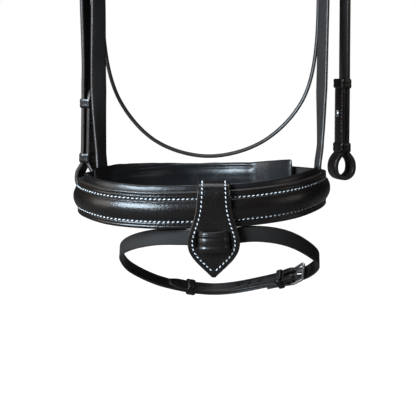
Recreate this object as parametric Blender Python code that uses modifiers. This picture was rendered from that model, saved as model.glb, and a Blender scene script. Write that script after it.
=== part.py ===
# Leather horse bridle hanging from its poll: padded crown, cheekpieces with hook studs, browband,
# throatlash, sliphead, and a raised padded noseband with its flash strap.
# Metres, +Z up, +X to the viewer's right, +Y away from the viewer.
# The origin is the middle of the underside of the crown pad.

import bisect
import math

import bmesh
import bpy
from mathutils import Matrix, Vector

# Driving sizes in millimetres, turned into metres by MM where a mesh is made.
MM = 0.001
GAP = 0.3

CHEEK_WIDTH = 16.0
CHEEK_LEATHER = 3.4
BILLET_LEATHER = 2.8
THROAT_WIDTH = 12.0
THROAT_LEATHER = 2.6
SLIP_WIDTH = 16.0
SLIP_LEATHER = 2.6
FLASH_WIDTH = 12.4
FLASH_LEATHER = 2.0
REAR_WIDTH = 20.0
REAR_LEATHER = 2.8
KEEPER_LEATHER = 1.3
TAB_LEATHER = 2.8

WIRE = 1.25
PRONG = 0.8
FRAME_LENGTH = 14.0
FRAME_LIFT = 2.2

PAD_HALF = 3.9
SLIP_DROP = BILLET_LEATHER / 2 + SLIP_LEATHER / 2 + 0.7
PAD_DROP = SLIP_DROP + SLIP_LEATHER / 2 + 0.6 + PAD_HALF
CROWN_TOP = PAD_DROP + PAD_HALF
CROWN_REACH = 135.0
CHEEK_DEPTH = -9.0
THROAT_DEPTH = 11.0
CHEEK_TWIST = 22.0
BUCKLE_HEIGHT = -200.0
CHEEK_BOTTOM = {"left": -446.0, "right": -437.0}
CHEEK_OUT = {"left": 110.0, "right": 113.0}
CHEEK_LEAN = {"left": (0.0, 1.5, 3.0, 1.0), "right": (0.0, 0.0, 0.0, 0.0)}
CHEEK_BULGE = {"left": 8.0, "right": 8.6}

RING_X = -9.0
RING_Y = -47.0
BAND_HALF = 15.0
BAND_SIDE_HALF = 13.5
BAND_LEATHER = 2.4
BACKING = 1.8
SWELL = 4.0
TAB_X = 1.0
LINING = 5.0

SIDES = {"left": -1.0, "right": 1.0}
SEAM = 0.9
BEND_ROOM = 4.0
RUNNER_SLACK = 0.35
KEEPER_CORNER = 1.2
FLASH_RUNNER = 94.0
CROWN_STEP = 11.25

# Leather and metal.
MATERIALS = {
    "leather_black": ((0.018, 0.018, 0.021), 0.42, 0.0),
    "leather_inner": ((0.030, 0.032, 0.040), 0.60, 0.0),
    "leather_soft": ((0.022, 0.022, 0.026), 0.55, 0.0),
    "steel": ((0.62, 0.63, 0.64), 0.22, 1.0),
}

for old in list(bpy.data.objects):
    bpy.data.objects.remove(old, do_unlink=True)


def new_collection(name):
    collection = bpy.data.collections.get(name) or bpy.data.collections.new(name)
    if name not in bpy.context.scene.collection.children:
        bpy.context.scene.collection.children.link(collection)
    return collection


PARTS = new_collection("bridle")
CUTTERS = new_collection("bridle_cutters")


def material(look, name):
    colour, roughness, metallic = MATERIALS[look]
    made = bpy.data.materials.new(f"{name}_{look}")
    made.use_nodes = True
    shader = made.node_tree.nodes["Principled BSDF"]
    shader.inputs["Base Color"].default_value = (*colour, 1.0)
    shader.inputs["Roughness"].default_value = roughness
    shader.inputs["Metallic"].default_value = metallic
    return made


# A strap's centre line in space. s is the distance along it from the knot called zero, h the height
# above the line on the strap's outer side, and w the distance across the strap.
class Track:
    FINE = 10

    def __init__(self, knots, across, zero=0, closed=False):
        self.closed = closed
        self.points = []
        self.across = []
        count = len(knots)
        spans = count if closed else count - 1
        for index in range(spans):
            for step in range(self.FINE):
                self.add_point(knots, across, index, step / self.FINE)
        if closed:
            self.points.append(self.points[0].copy())
            self.across.append(self.across[0].copy())
        else:
            self.add_point(knots, across, spans - 1, 1.0)
        self.lengths = [0.0]
        for first, second in zip(self.points, self.points[1:]):
            self.lengths.append(self.lengths[-1] + (second - first).length)
        self.total = self.lengths[-1]
        self.zero = self.lengths[min(zero * self.FINE, len(self.lengths) - 1)]

    def knot(self, values, index):
        count = len(values)
        if self.closed:
            return Vector(values[index % count])
        return Vector(values[max(0, min(count - 1, index))])

    def add_point(self, knots, across, index, part):
        before, start, end, after = (self.knot(knots, index + k) for k in (-1, 0, 1, 2))
        span = (end - start).length
        left = max((start - before).length, 1e-6)
        right = max((after - end).length, 1e-6)
        leave = (end - before) * (span / (left + span)) if left > 1e-5 else (end - start)
        arrive = (after - start) * (span / (right + span)) if right > 1e-5 else (end - start)
        squared = part * part
        cubed = squared * part
        point = start * (2 * cubed - 3 * squared + 1) + end * (3 * squared - 2 * cubed)
        point += leave * (cubed - 2 * squared + part) + arrive * (cubed - squared)
        blend = self.knot(across, index).lerp(self.knot(across, index + 1), part)
        self.points.append(point)
        self.across.append(blend.normalized())

    def frame(self, s):
        place = s + self.zero
        if self.closed:
            place %= self.total
        index = bisect.bisect_right(self.lengths, place) - 1
        index = max(0, min(len(self.points) - 2, index))
        step = self.lengths[index + 1] - self.lengths[index]
        part = (place - self.lengths[index]) / step
        point = self.points[index].lerp(self.points[index + 1], part)
        tangent = (self.slope(index).lerp(self.slope(index + 1), part)).normalized()
        across = self.across[index].lerp(self.across[index + 1], part)
        across = (across - tangent * across.dot(tangent)).normalized()
        return point, tangent, across

    def slope(self, index):
        last = len(self.points) - 1
        if self.closed:
            before = self.points[(index - 1) % last]
            after = self.points[(index + 1) % last]
        else:
            before = self.points[max(0, index - 1)]
            after = self.points[min(last, index + 1)]
        return (after - before).normalized()

    def __call__(self, s, h=0.0, w=0.0):
        point, tangent, across = self.frame(s)
        return point + tangent.cross(across) * h + across * w

    def nearest(self, x, y):
        best = min(range(len(self.points)), key=lambda k: (self.points[k].xy - Vector((x, y))).length)
        s = self.lengths[best] - self.zero
        if self.closed and s > self.total / 2:
            s -= self.total
        return s


def steps_between(points, step):
    path = [points[0]]
    for first, second in zip(points, points[1:]):
        length = math.dist(first, second)
        pieces = max(1, math.ceil(length / step))
        for piece in range(1, pieces + 1):
            part = piece / pieces
            path.append(tuple(a + (b - a) * part for a, b in zip(first, second)))
    return path


def finish(obj, look):
    obj.data.materials.append(material(look, obj.name))
    PARTS.objects.link(obj)
    return obj


# Rows of points across the leather become a surface that Solidify thickens and Bevel takes the
# edges off.
def sheet(name, rows, thickness, look, closed=False, edge=0.5, keep=None):
    bm = bmesh.new()
    spans = len(rows) if closed else len(rows) - 1
    columns = len(rows[0]) - 1
    bmesh.ops.create_grid(bm, x_segments=spans, y_segments=columns, size=1.0)
    cells = {}
    for vertex in bm.verts:
        row = round((vertex.co.x + 1.0) / 2.0 * spans)
        column = round((vertex.co.y + 1.0) / 2.0 * columns)
        cells[vertex] = (row, column)
    if keep:
        spare = [face for face in bm.faces if not keep(*lowest(cells, face))]
        bmesh.ops.delete(bm, geom=spare, context="FACES")
    for vertex in bm.verts:
        row, column = cells[vertex]
        vertex.co = rows[row % len(rows)][column] * MM
    if closed:
        bmesh.ops.remove_doubles(bm, verts=bm.verts, dist=0.00001)
    mesh = bpy.data.meshes.new(name)
    bm.to_mesh(mesh)
    bm.free()
    mesh.shade_smooth()
    obj = finish(bpy.data.objects.new(name, mesh), look)
    solid = obj.modifiers.new("thickness", "SOLIDIFY")
    solid.thickness = thickness * MM
    solid.offset = 0.0
    solid.use_even_offset = True
    if edge:
        bevel = obj.modifiers.new("edges", "BEVEL")
        bevel.width = edge * MM
        bevel.segments = 1
        bevel.limit_method = "ANGLE"
        bevel.angle_limit = math.radians(52)
    return obj


def lowest(cells, face):
    corners = [cells[vertex] for vertex in face.verts]
    return min(row for row, column in corners), min(column for row, column in corners)


# A strap that follows a path of (s, h) in a place's own coordinates.
def ribbon(name, place, path, width, thickness, look, step=11.0, tip=(False, False), edge=0.5):
    path = steps_between(path, step)
    run = [0.0]
    for first, second in zip(path, path[1:]):
        run.append(run[-1] + math.dist(first, second))
    rows = []
    for (s, h), distance in zip(path, run):
        half = width(s) if callable(width) else width / 2
        if tip[0]:
            half *= tip_share(distance)
        if tip[1]:
            half *= tip_share(run[-1] - distance)
        rows.append([place(s, h, -half), place(s, h, half)])
    return sheet(name, rows, thickness, look, edge=edge)


def tip_share(distance):
    return min(1.0, 0.35 + 0.65 * math.sqrt(min(1.0, max(0.0, distance) / 9.0)))


# The corners of a rounded rectangle, three points to a corner.
def rounded_loop(low, high, left, right, radius):
    points = []
    for across, up, start in ((right, high, 0), (left, high, 90), (left, low, 180), (right, low, 270)):
        centre = (across - math.copysign(radius, across - (left + right) / 2),
                  up - math.copysign(radius, up - (low + high) / 2))
        for turn in (0, 45, 90):
            angle = math.radians(start + turn)
            points.append((centre[0] + radius * math.cos(angle), centre[1] + radius * math.sin(angle)))
    return points


# A leather loop round a strap: low and high are the heights that it clears.
def keeper(name, place, middle, length, low, high, width, look="leather_black", leather=KEEPER_LEATHER):
    grow = GAP + leather / 2
    half = width / 2 + grow
    outline = rounded_loop(low - grow, high + grow, -half, half, KEEPER_CORNER)
    rows = []
    for w, h in outline:
        rows.append([place(middle - length / 2, h, w), place(middle + length / 2, h, w)])
    return sheet(name, rows, leather, look, closed=True, edge=0.0)


def wire(name, points, radius, look, closed=False, sides=2):
    curve = bpy.data.curves.new(name, "CURVE")
    curve.dimensions = "3D"
    curve.bevel_depth = radius * MM
    curve.bevel_resolution = sides
    curve.use_fill_caps = not closed
    spline = curve.splines.new("POLY")
    spline.points.add(len(points) - 1)
    for knot, point in zip(spline.points, points):
        knot.co = (*(point * MM), 1.0)
    spline.use_cyclic_u = closed
    spline.use_smooth = True
    return finish(bpy.data.objects.new(name, curve), look)


# A padded piece: a closed tube whose section swells, with rounded ends.
def pad(name, place, stations, centre, half_thick, half_wide, look, flat=False, round_end=8.0, rise=0.0):
    sections = 12
    spans = len(stations) - 1
    start, end = stations[0], stations[-1]
    bm = bmesh.new()
    bmesh.ops.create_grid(bm, x_segments=spans, y_segments=sections, size=1.0)
    for vertex in bm.verts:
        row = round((vertex.co.x + 1.0) / 2.0 * spans)
        column = round((vertex.co.y + 1.0) / 2.0 * sections)
        s = stations[row]
        near = min(abs(s - start), abs(s - end)) / round_end
        full = 0.55 + 0.45 * math.sqrt(min(1.0, near))
        angle = 2 * math.pi * (column % sections + 0.5) / sections
        w = half_wide(s) * full * squared_cosine(angle)
        h = half_thick * full * squared_cosine(angle - math.pi / 2)
        if flat:
            h = -half_thick if angle > math.pi * 1.1 and angle < math.pi * 1.9 else h
        vertex.co = place(s, centre + h, w + rise) * MM
    bmesh.ops.remove_doubles(bm, verts=bm.verts, dist=0.00001)
    rims = [edge for edge in bm.edges if edge.is_boundary]
    bmesh.ops.holes_fill(bm, edges=rims, sides=0)
    bmesh.ops.recalc_face_normals(bm, faces=bm.faces)
    mesh = bpy.data.meshes.new(name)
    bm.to_mesh(mesh)
    bm.free()
    mesh.shade_smooth()
    return finish(bpy.data.objects.new(name, mesh), look)


def even(start, end, spans):
    return [start + (end - start) * k / spans for k in range(spans + 1)]


def squared_cosine(angle):
    value = math.cos(angle)
    return math.copysign(abs(value) ** 0.72, value)


# A stadium-shaped punch through a strap at (s, h), long along the strap.
def punch(target, place, s, h, radius, length=0.0, depth=12.0):
    bm = bmesh.new()
    bmesh.ops.create_cone(bm, cap_ends=True, segments=8, radius1=radius, radius2=radius, depth=depth)
    for vertex in bm.verts:
        vertex.co.x += math.copysign(length / 2, vertex.co.x) if abs(vertex.co.x) > 1e-4 else 0.0
    origin = place(s, h, 0.0)
    along = (place(s + 1.0, h, 0.0) - origin).normalized()
    wide = (place(s, h, 1.0) - origin).normalized()
    out = along.cross(wide).normalized()
    wide = out.cross(along)
    turn = Matrix((along, wide, out)).transposed().to_4x4()
    bmesh.ops.transform(bm, matrix=turn, verts=bm.verts)
    bmesh.ops.translate(bm, vec=origin, verts=bm.verts)
    bmesh.ops.scale(bm, vec=(MM, MM, MM), verts=bm.verts)
    bmesh.ops.recalc_face_normals(bm, faces=bm.faces)
    mesh = bpy.data.meshes.new(f"{target.name}_punch")
    bm.to_mesh(mesh)
    bm.free()
    cutter = bpy.data.objects.new(mesh.name, mesh)
    cutter.hide_render = True
    cutter.display_type = "WIRE"
    CUTTERS.objects.link(cutter)
    cut = target.modifiers.new("hole", "BOOLEAN")
    cut.operation = "DIFFERENCE"
    cut.solver = "EXACT"
    cut.object = cutter


# Heights round a buckle's bar for a strap of the given thickness.
def near_bar(leather):
    return WIRE + GAP + leather / 2


def flat_layer(leather):
    return (leather + GAP) / 2


def over_bar(leather, billet):
    return WIRE + 2 * GAP + leather + billet / 2


def over_strap(leather, billet):
    return flat_layer(leather) + leather / 2 + GAP + billet / 2


def under_front(billet):
    return FRAME_LIFT - WIRE - GAP - billet / 2


# The strap's end: back layer, fold round the bar, front layer.
def folded_end(leather, back):
    near = near_bar(leather)
    flat = flat_layer(leather)
    path = [(back, -flat), (13.0, -flat), (6.0, -(near + flat) / 2)]
    for step in range(7):
        angle = math.radians(-90 - 30 * step)
        path.append((near * math.cos(angle), near * math.sin(angle)))
    path += [(6.0, (near + flat) / 2), (13.0, flat)]
    return path


# The other strap's path: under the front bar, over the fold, down on to the strap.
def billet_over(leather, billet):
    lift = over_bar(leather, billet) + 0.25
    low = under_front(billet)
    path = [(-FRAME_LENGTH - BEND_ROOM, low), (-FRAME_LENGTH + 1.2, low)]
    path.append((-lift - 1.6, lift * 0.33))
    for angle in (140, 115, 90):
        turn = math.radians(angle)
        path.append((lift * math.cos(turn), lift * math.sin(turn)))
    path += [(6.5, lift - 0.45), (14.0, over_strap(leather, billet))]
    return path


# Frame, tongue and the slots that the tongue works in.
def buckle(prefix, place, width, strap, billet):
    half = width / 2 + 0.9 + WIRE
    outline = rounded_loop(-FRAME_LENGTH, 0.0, -half, half, 2.0)
    points = []
    for w, s in outline:
        points.append(place(s, FRAME_LIFT * min(1.0, -s / FRAME_LENGTH * 1.3), w))
    frame = wire(f"{prefix}_buckle", points, WIRE, "steel", closed=True)
    eye = WIRE + 0.25 + PRONG
    path = []
    for angle in (-150, -105, -60, -15, 30, 72):
        turn = math.radians(angle)
        path.append((eye * math.cos(turn), eye * math.sin(turn)))
    rest = FRAME_LIFT + WIRE + 0.25 + PRONG
    path += [(-1.2, eye + 0.15), (-FRAME_LENGTH, rest), (-FRAME_LENGTH - 2.2, rest + 0.1)]
    tongue = wire(f"{prefix}_tongue", [place(s, h, 0.0) for s, h in path], PRONG, "steel", sides=1)
    punch(strap, place, -1.0, 0.0, PRONG + 0.5, length=11.5, depth=14.0)
    if billet:
        punch(billet, place, -6.2, 3.0, PRONG + 0.5, length=7.6, depth=14.0)
    return frame, tongue


def turned_about(angle_degrees, side):
    angle = math.radians(angle_degrees)
    return (-side * math.sin(angle), math.cos(angle), 0.0)


# Tracks: the crown and cheeks in one line, the throatlash as a closed loop, the sliphead, the
# noseband ring, the flash loop and the browband.
CROWN_X = (0.0, 13.0, 30.0, 48.0, 66.0, 81.0, 92.0)
CROWN_Z = (CROWN_TOP, CROWN_TOP, 12.0, 3.5, -13.0, -36.0, -65.0)


def cheek_track():
    knots = []
    across = []
    for side_name, side in SIDES.items():
        out = CHEEK_OUT[side_name]
        run = [(side * x, CHEEK_DEPTH, z) for x, z in zip(CROWN_X[1:], CROWN_Z[1:])]
        run += [(side * (out - 6), CHEEK_DEPTH, -102.0), (side * (out - 1), CHEEK_DEPTH, -155.0)]
        heights = (-205.0, -280.0, -360.0, CHEEK_BOTTOM[side_name])
        run += [(side * (out - lean), CHEEK_DEPTH, z) for lean, z in zip(CHEEK_LEAN[side_name], heights)]
        turns = [turned_about(a, side) for a in (0, 0, 0, 1, 3, 6, 11, 18)]
        turns += [turned_about(CHEEK_TWIST, side)] * 4
        if side < 0:
            knots = run[::-1] + [(0.0, CHEEK_DEPTH, CROWN_TOP)]
            across = turns[::-1] + [(0.0, 1.0, 0.0)]
        else:
            knots += run
            across += turns
    return Track(knots, across, zero=12)


def throat_track():
    knots = [(0.0, THROAT_DEPTH, CROWN_TOP)]
    right = list(zip(CROWN_X[1:], CROWN_Z[1:])) + [(100.0, -102.0), (98.0, -155.0), (92.0, -225.0)]
    left = list(zip(CROWN_X[1:], CROWN_Z[1:])) + [(100.0, -102.0), (100.0, -155.0), (97.5, -225.0)]
    low = [(89.5, -324.0), (77.0, -370.0), (43.2, -404.0), (-3.6, -416.5), (-49.0, -403.5),
           (-80.0, -369.0), (-92.8, -324.0)]
    knots += [(x, THROAT_DEPTH, z) for x, z in right + low]
    knots += [(-x, THROAT_DEPTH, z) for x, z in reversed(left)]
    return Track(knots, [(0.0, 1.0, 0.0)] * len(knots), closed=True)


# Points under the headpiece's middle line, a layer further in.
def crown_layer(drop, count):
    return [tuple(CHEEKS(CROWN_STEP * k, -drop, -CHEEK_DEPTH)) for k in range(-count, count + 1)]


def sliphead_track():
    tuck = BAND_LEATHER + GAP + BACKING + GAP + SLIP_LEATHER / 2 + 1.3
    low = RING(hang("left"), -tuck, -7.0)
    rim = RING(hang("left"), -tuck, BAND_SIDE_HALF + 3.0)
    knots = [tuple(low), tuple(rim), (-95.8, -25.5, -412.0), (-97.8, -20.5, -358.0),
             (-97.5, -15.0, -290.0), (-97.0, -10.0, -225.0), (-98.5, -5.0, -165.0)]
    turns = [(-1, a) for a in (0, 0, 26, 50, 44, 30, 12)]
    crown_knots = crown_layer(SLIP_DROP, 10)
    knots += crown_knots
    turns += [(-1, 0)] * len(crown_knots)
    low = RING(hang("right"), -tuck, -7.0)
    rim = RING(hang("right"), -tuck, BAND_SIDE_HALF + 3.0)
    knots += [(100.5, -5.0, -165.0), (97.5, -15.0, -225.0), (95.5, -26.0, -290.0),
              (93.6, -39.0, -358.0), (91.4, -47.5, -402.0), tuple(rim), tuple(low)]
    turns += [(1, a) for a in (12, 22, 26, 26, 10, 0, 0)]
    across = [turned_about(angle, side) for side, angle in turns]
    for ends, name, sign in (((0, 1), "left", -1.0), ((-1, -2), "right", 1.0)):
        for index in ends:
            across[index] = tuple(RING.frame(hang(name))[1] * sign)
    return Track(knots, across, zero=7 + len(crown_knots) // 2)


# Where the sliphead's two ends meet the noseband, as a distance round the ring.
def hang(name):
    return RING.nearest(-100.5, -26.0) if name == "left" else RING.nearest(95.6, -52.0)


# The noseband seen from above, front middle first, and its height: the right side hangs a little
# higher and the front middle dips.
def ring_track():
    half = [(40, -77), (76, -63), (97.4, -38), (104.6, -10), (97, 13), (83.5, 36), (62, 58), (32, 74)]
    outline = [(0, -80)] + half + [(0, 79)] + [(-x, y) for x, y in reversed(half)]
    knots = []
    for x, y in outline:
        dip = 8.6 * max(0.0, -y / 80.0) ** 2
        knots.append((x + RING_X, y + RING_Y, -441.4 + 0.033 * x - dip))
    return Track(knots, [(0.0, 0.0, 1.0)] * len(knots), closed=True)


# The flash strap's loop: upright in front, tilted open where its far side hangs down.
def flash_track():
    rows = [(1, -77.5, -473.0, 0), (34, -73, -471.8, 2), (60, -60, -476.3, 8), (81, -37, -488.5, 18),
            (89.5, -12, -501.5, 32), (80, 9, -514.5, 46), (50, 25, -526.2, 60), (2, 34, -535.2, 64),
            (-43, 25, -526.5, 60), (-70, 6, -510, 54), (-77.5, -17, -493.5, 42), (-69, -44, -482, 15),
            (-48, -66, -474, 3), (-25, -74.5, -472.6, 0)]
    knots = [(x, y + RING_Y, z) for x, y, z, tilt in rows]
    across = []
    for x, y, z, tilt in rows:
        across.append((0.0, math.sin(math.radians(tilt)), math.cos(math.radians(tilt))))
    return Track(knots, across, closed=True)


def browband_track():
    half = [(104.0, -35.0), (96.0, -25.0), (86.0, -10.0), (84.0, 8.0), (90.0, 22.0), (103.0, 26.0),
            (112.5, 18.0), (116.5, 2.0), (117.0, -15.0), (111.5, -34.0), (98.0, -64.0),
            (70.0, -92.0), (36.0, -106.0)]
    flat = [(x, y) for x, y in half] + [(0.0, -110.0)] + [(-x, y) for x, y in reversed(half)]
    knots = []
    for x, y in flat:
        drop = 9.0 * min(1.0, max(0.0, -y - 20.0) / 90.0)
        knots.append((x, y, -120.0 - drop))
    return Track(knots, [(0.0, 0.0, 1.0)] * len(knots), zero=len(half))


CHEEKS = cheek_track()
THROAT = throat_track()
RING = ring_track()
SLIPHEAD = sliphead_track()
FLASH = flash_track()
BROWBAND = browband_track()


# The distance along a hanging track, on one side, where it passes a height.
def at_height(track, side, height):
    low, high = 60.0, track.total / 2
    for attempt in range(40):
        middle = (low + high) / 2
        if track(side * middle).z > height:
            low = middle
        else:
            high = middle
    return low


def along(track, side, start, flip=1.0):
    return lambda s, h, w: track(side * (start + s), flip * h, w)


def crown():
    side_length = {}
    for name, side in SIDES.items():
        seam = at_height(CHEEKS, side, BUCKLE_HEIGHT + FRAME_LENGTH + BEND_ROOM + SEAM)
        throat_seam = at_height(THROAT, side, BUCKLE_HEIGHT + FRAME_LENGTH + BEND_ROOM + SEAM)
        side_length[side] = (seam, throat_seam)
    ways = crown_ways(side_length)
    low = under_front(BILLET_LEATHER)
    rows = []
    joined = []
    for row, (side, share, front) in enumerate(ways):
        rear = front if front <= CROWN_REACH else (
            CROWN_REACH + (side_length[side][1] - CROWN_REACH) * share)
        sink = low * share
        half = CHEEK_WIDTH / 2
        thin = THROAT_WIDTH / 2
        rows.append([CHEEKS(side * front, sink, -half), CHEEKS(side * front, sink, half),
                     THROAT(side * rear, sink, -thin), THROAT(side * rear, sink, thin)])
        if front < CROWN_REACH - 0.1:
            joined += [row, row - 1]
    keep = lambda row, column: column != 1 or row in joined
    sheet("headpiece_strap", rows, BILLET_LEATHER, "leather_black", keep=keep)
    knots = crown_layer(PAD_DROP, 7)
    line = Track(knots, [(0.0, 1.0, 0.0)] * len(knots), zero=7)
    pad("headpiece_pad", line, even(-66.0, 66.0, 14), 0.0, PAD_HALF, lambda s: 24.0, "leather_soft",
        flat=True)


# Stations along the headpiece from its left end to its right: side, share of the way down the
# branch and distance from the middle.
def crown_ways(side_length):
    ways = []
    for side in (-1.0, 1.0):
        half = [(side, 0.0, CROWN_STEP * k) for k in range(int(CROWN_REACH / CROWN_STEP) + 1)]
        end = side_length[side][0]
        half += [(side, part, CROWN_REACH + (end - CROWN_REACH) * part) for part in (0.4, 0.75, 1.0)]
        ways = half[:0:-1] if side < 0 else ways + half
    return ways


def cheekpiece(name):
    side = SIDES[name]
    bar = at_height(CHEEKS, side, BUCKLE_HEIGHT)
    place = along(CHEEKS, side, bar)
    length = BUCKLE_HEIGHT - CHEEK_BOTTOM[name]
    layer = flat_layer(CHEEK_LEATHER)
    bulge = CHEEK_BULGE[name]
    spread = 2.6
    turn = length - CHEEK_LEATHER / 2 - bulge
    path = folded_end(CHEEK_LEATHER, 30.0)
    path += [(length - 110.0, layer), (length - 90.0, spread), (length - 24.6, spread)]
    path += [(length - 20.5, bulge - 3.2), (length - 16.8, bulge - 0.9), (length - 13.5, bulge - 0.1)]
    for step in range(8):
        angle = math.radians(90 - 180 / 7 * step)
        path.append((turn + bulge * math.cos(angle), bulge * math.sin(angle)))
    path += [(length - 13.5, 0.1 - bulge), (length - 16.8, 0.9 - bulge), (length - 20.5, 3.2 - bulge)]
    path += [(length - 24.6, -spread), (length - 88.0, -spread)]
    strap = ribbon(f"cheekpiece_{name}", place, path, CHEEK_WIDTH, CHEEK_LEATHER, "leather_black",
                   step=24.0, tip=(False, True))
    over = over_strap(CHEEK_LEATHER, BILLET_LEATHER)
    low = under_front(BILLET_LEATHER)
    billet_path = billet_over(CHEEK_LEATHER, BILLET_LEATHER) + [(58.0, over)]
    billet = ribbon(f"cheek_billet_{name}", place, billet_path, CHEEK_WIDTH - 0.6, BILLET_LEATHER,
                    "leather_black", tip=(False, True))
    for hole in (26.0, 34.0):
        punch(billet, place, hole, over, 1.7)
    buckle(f"cheek_{name}", place, CHEEK_WIDTH, strap, billet)
    top = over + BILLET_LEATHER / 2
    bottom = -layer - CHEEK_LEATHER / 2
    keeper(f"cheek_{name}_keeper", place, 19.0, 7.0, bottom, top, CHEEK_WIDTH)
    slack = layer - CHEEK_LEATHER / 2 - RUNNER_SLACK
    keeper(f"cheek_{name}_runner", place, 44.0, 8.0, slack, top + RUNNER_SLACK, CHEEK_WIDTH)
    both = spread + CHEEK_LEATHER / 2
    keeper(f"cheek_{name}_lower_keeper", place, length - 28.5, 8.0, -both - 0.5, both + 0.5, CHEEK_WIDTH)
    upper = length - (76.0 if name == "left" else 84.0)
    keeper(f"cheek_{name}_upper_keeper", place, upper, 8.0, -both, both, CHEEK_WIDTH)
    stud_at = length - 58.0
    punch(strap, place, stud_at, -spread, 2.2, length=1.5, depth=CHEEK_LEATHER + 0.2)
    stud(f"cheek_{name}_hook_stud", place, stud_at, spread)
    return place


# The hook that the turned-up strap fastens on: a neck with a domed head.
def stud(name, place, s, layer):
    inner = layer - CHEEK_LEATHER / 2 - GAP
    head = -layer - CHEEK_LEATHER / 2 - GAP
    profile = [(0.0, inner), (1.5, inner), (1.5, head), (3.2, head - 0.2), (3.3, head - 1.0),
               (2.2, head - 1.9), (0.0, head - 2.2)]
    bm = bmesh.new()
    points = [bm.verts.new((radius, 0.0, h)) for radius, h in profile]
    for first, second in zip(points, points[1:]):
        bm.edges.new((first, second))
    origin = place(s, 0.0, 0.0)
    run = (place(s + 1.0, 0.0, 0.0) - origin).normalized()
    out = (place(s, 1.0, 0.0) - origin).normalized()
    bmesh.ops.spin(bm, geom=bm.verts[:] + bm.edges[:], cent=(0, 0, 0), axis=(0, 0, 1),
                   angle=2 * math.pi, steps=10)
    bmesh.ops.remove_doubles(bm, verts=bm.verts, dist=0.01)
    turn = Matrix((run, out.cross(run), out)).transposed().to_4x4()
    bmesh.ops.transform(bm, matrix=turn, verts=bm.verts)
    bmesh.ops.translate(bm, vec=origin, verts=bm.verts)
    bmesh.ops.scale(bm, vec=(MM, MM, MM), verts=bm.verts)
    bmesh.ops.recalc_face_normals(bm, faces=bm.faces)
    mesh = bpy.data.meshes.new(name)
    bm.to_mesh(mesh)
    bm.free()
    mesh.shade_smooth()
    finish(bpy.data.objects.new(name, mesh), "steel")


def throatlash():
    ends = {}
    for name, side in SIDES.items():
        bar = at_height(THROAT, side, BUCKLE_HEIGHT)
        ends[name] = bar
    reach = THROAT.total - ends["left"] - ends["right"]
    place = along(THROAT, 1.0, ends["right"])
    fold = folded_end(THROAT_LEATHER, 30.0)
    far_fold = [(reach - s, h) for s, h in reversed(fold)]
    strap = ribbon("throatlash_strap", place, fold + far_fold, THROAT_WIDTH, THROAT_LEATHER,
                   "leather_black", step=13.0, edge=0.0)
    over = over_strap(THROAT_LEATHER, BILLET_LEATHER)
    for name, side in SIDES.items():
        local = along(THROAT, side, ends[name])
        path = billet_over(THROAT_LEATHER, BILLET_LEATHER) + [(56.0, over)]
        billet = ribbon(f"throat_billet_{name}", local, path, THROAT_WIDTH - 0.4, BILLET_LEATHER,
                        "leather_black", tip=(False, True))
        for hole in (26.0, 34.0):
            punch(billet, local, hole, over, 1.6)
        buckle(f"throat_{name}", local, THROAT_WIDTH, strap, billet)
        layer = flat_layer(THROAT_LEATHER)
        top = over + BILLET_LEATHER / 2
        keeper(f"throat_{name}_keeper", local, 19.0, 6.0, -layer - THROAT_LEATHER / 2, top, THROAT_WIDTH)
        slack = layer - THROAT_LEATHER / 2 - RUNNER_SLACK
        keeper(f"throat_{name}_runner", local, 43.0, 7.0, slack, top + RUNNER_SLACK, THROAT_WIDTH)
    return {name: along(THROAT, side, ends[name]) for name, side in SIDES.items()}


def sliphead():
    bar = at_height(SLIPHEAD, -1.0, BUCKLE_HEIGHT - 38.0)
    place = along(SLIPHEAD, -1.0, bar)
    length = SLIPHEAD.zero - 0.2 - bar
    path = folded_end(SLIP_LEATHER, 28.0) + [(length - 40.0, 0.6), (length, 0.0)]
    hanger = ribbon("noseband_hanger", place, path, SLIP_WIDTH, SLIP_LEATHER, "leather_black",
                    step=14.0, edge=0.0)
    over = over_strap(SLIP_LEATHER, SLIP_LEATHER)
    right_end = SLIPHEAD.total - SLIPHEAD.zero - 0.2
    path = [(-bar - right_end, 0.0), (-bar - right_end + 30.0, 0.0), (-bar, 0.0), (-60.0, 0.0),
            (-35.0, under_front(SLIP_LEATHER))]
    path += billet_over(SLIP_LEATHER, SLIP_LEATHER) + [(40.0, over)]
    strap = ribbon("sliphead_strap", place, path, SLIP_WIDTH, SLIP_LEATHER, "leather_black",
                   step=11.25, tip=(False, True), edge=0.0)
    punch(strap, place, 26.0, over, 1.7)
    buckle("sliphead", place, SLIP_WIDTH, hanger, strap)
    layer = flat_layer(SLIP_LEATHER)
    top = over + SLIP_LEATHER / 2
    keeper("sliphead_keeper", place, 18.0, 6.0, -layer - SLIP_LEATHER / 2, top, SLIP_WIDTH)
    slack = layer - SLIP_LEATHER / 2 - RUNNER_SLACK
    keeper("sliphead_runner", place, 34.0, 6.0, slack, top + RUNNER_SLACK, SLIP_WIDTH)
    return place


def band_half(s):
    share = min(1.0, max(0.0, (abs(s) - 70.0) / 110.0))
    return BAND_HALF + (BAND_SIDE_HALF - BAND_HALF) * share


# Stations shared by the noseband's layers, so that their facets lie alike.
def ring_stations(start, end):
    step = RING.total / 60
    first = math.floor(start / step) + 1
    last = math.ceil(end / step) - 1
    between = [step * k for k in range(first, last + 1)]
    between = [s for s in between if s - start > 1.5 and end - s > 1.5]
    return [start] + between + [end]


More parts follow.
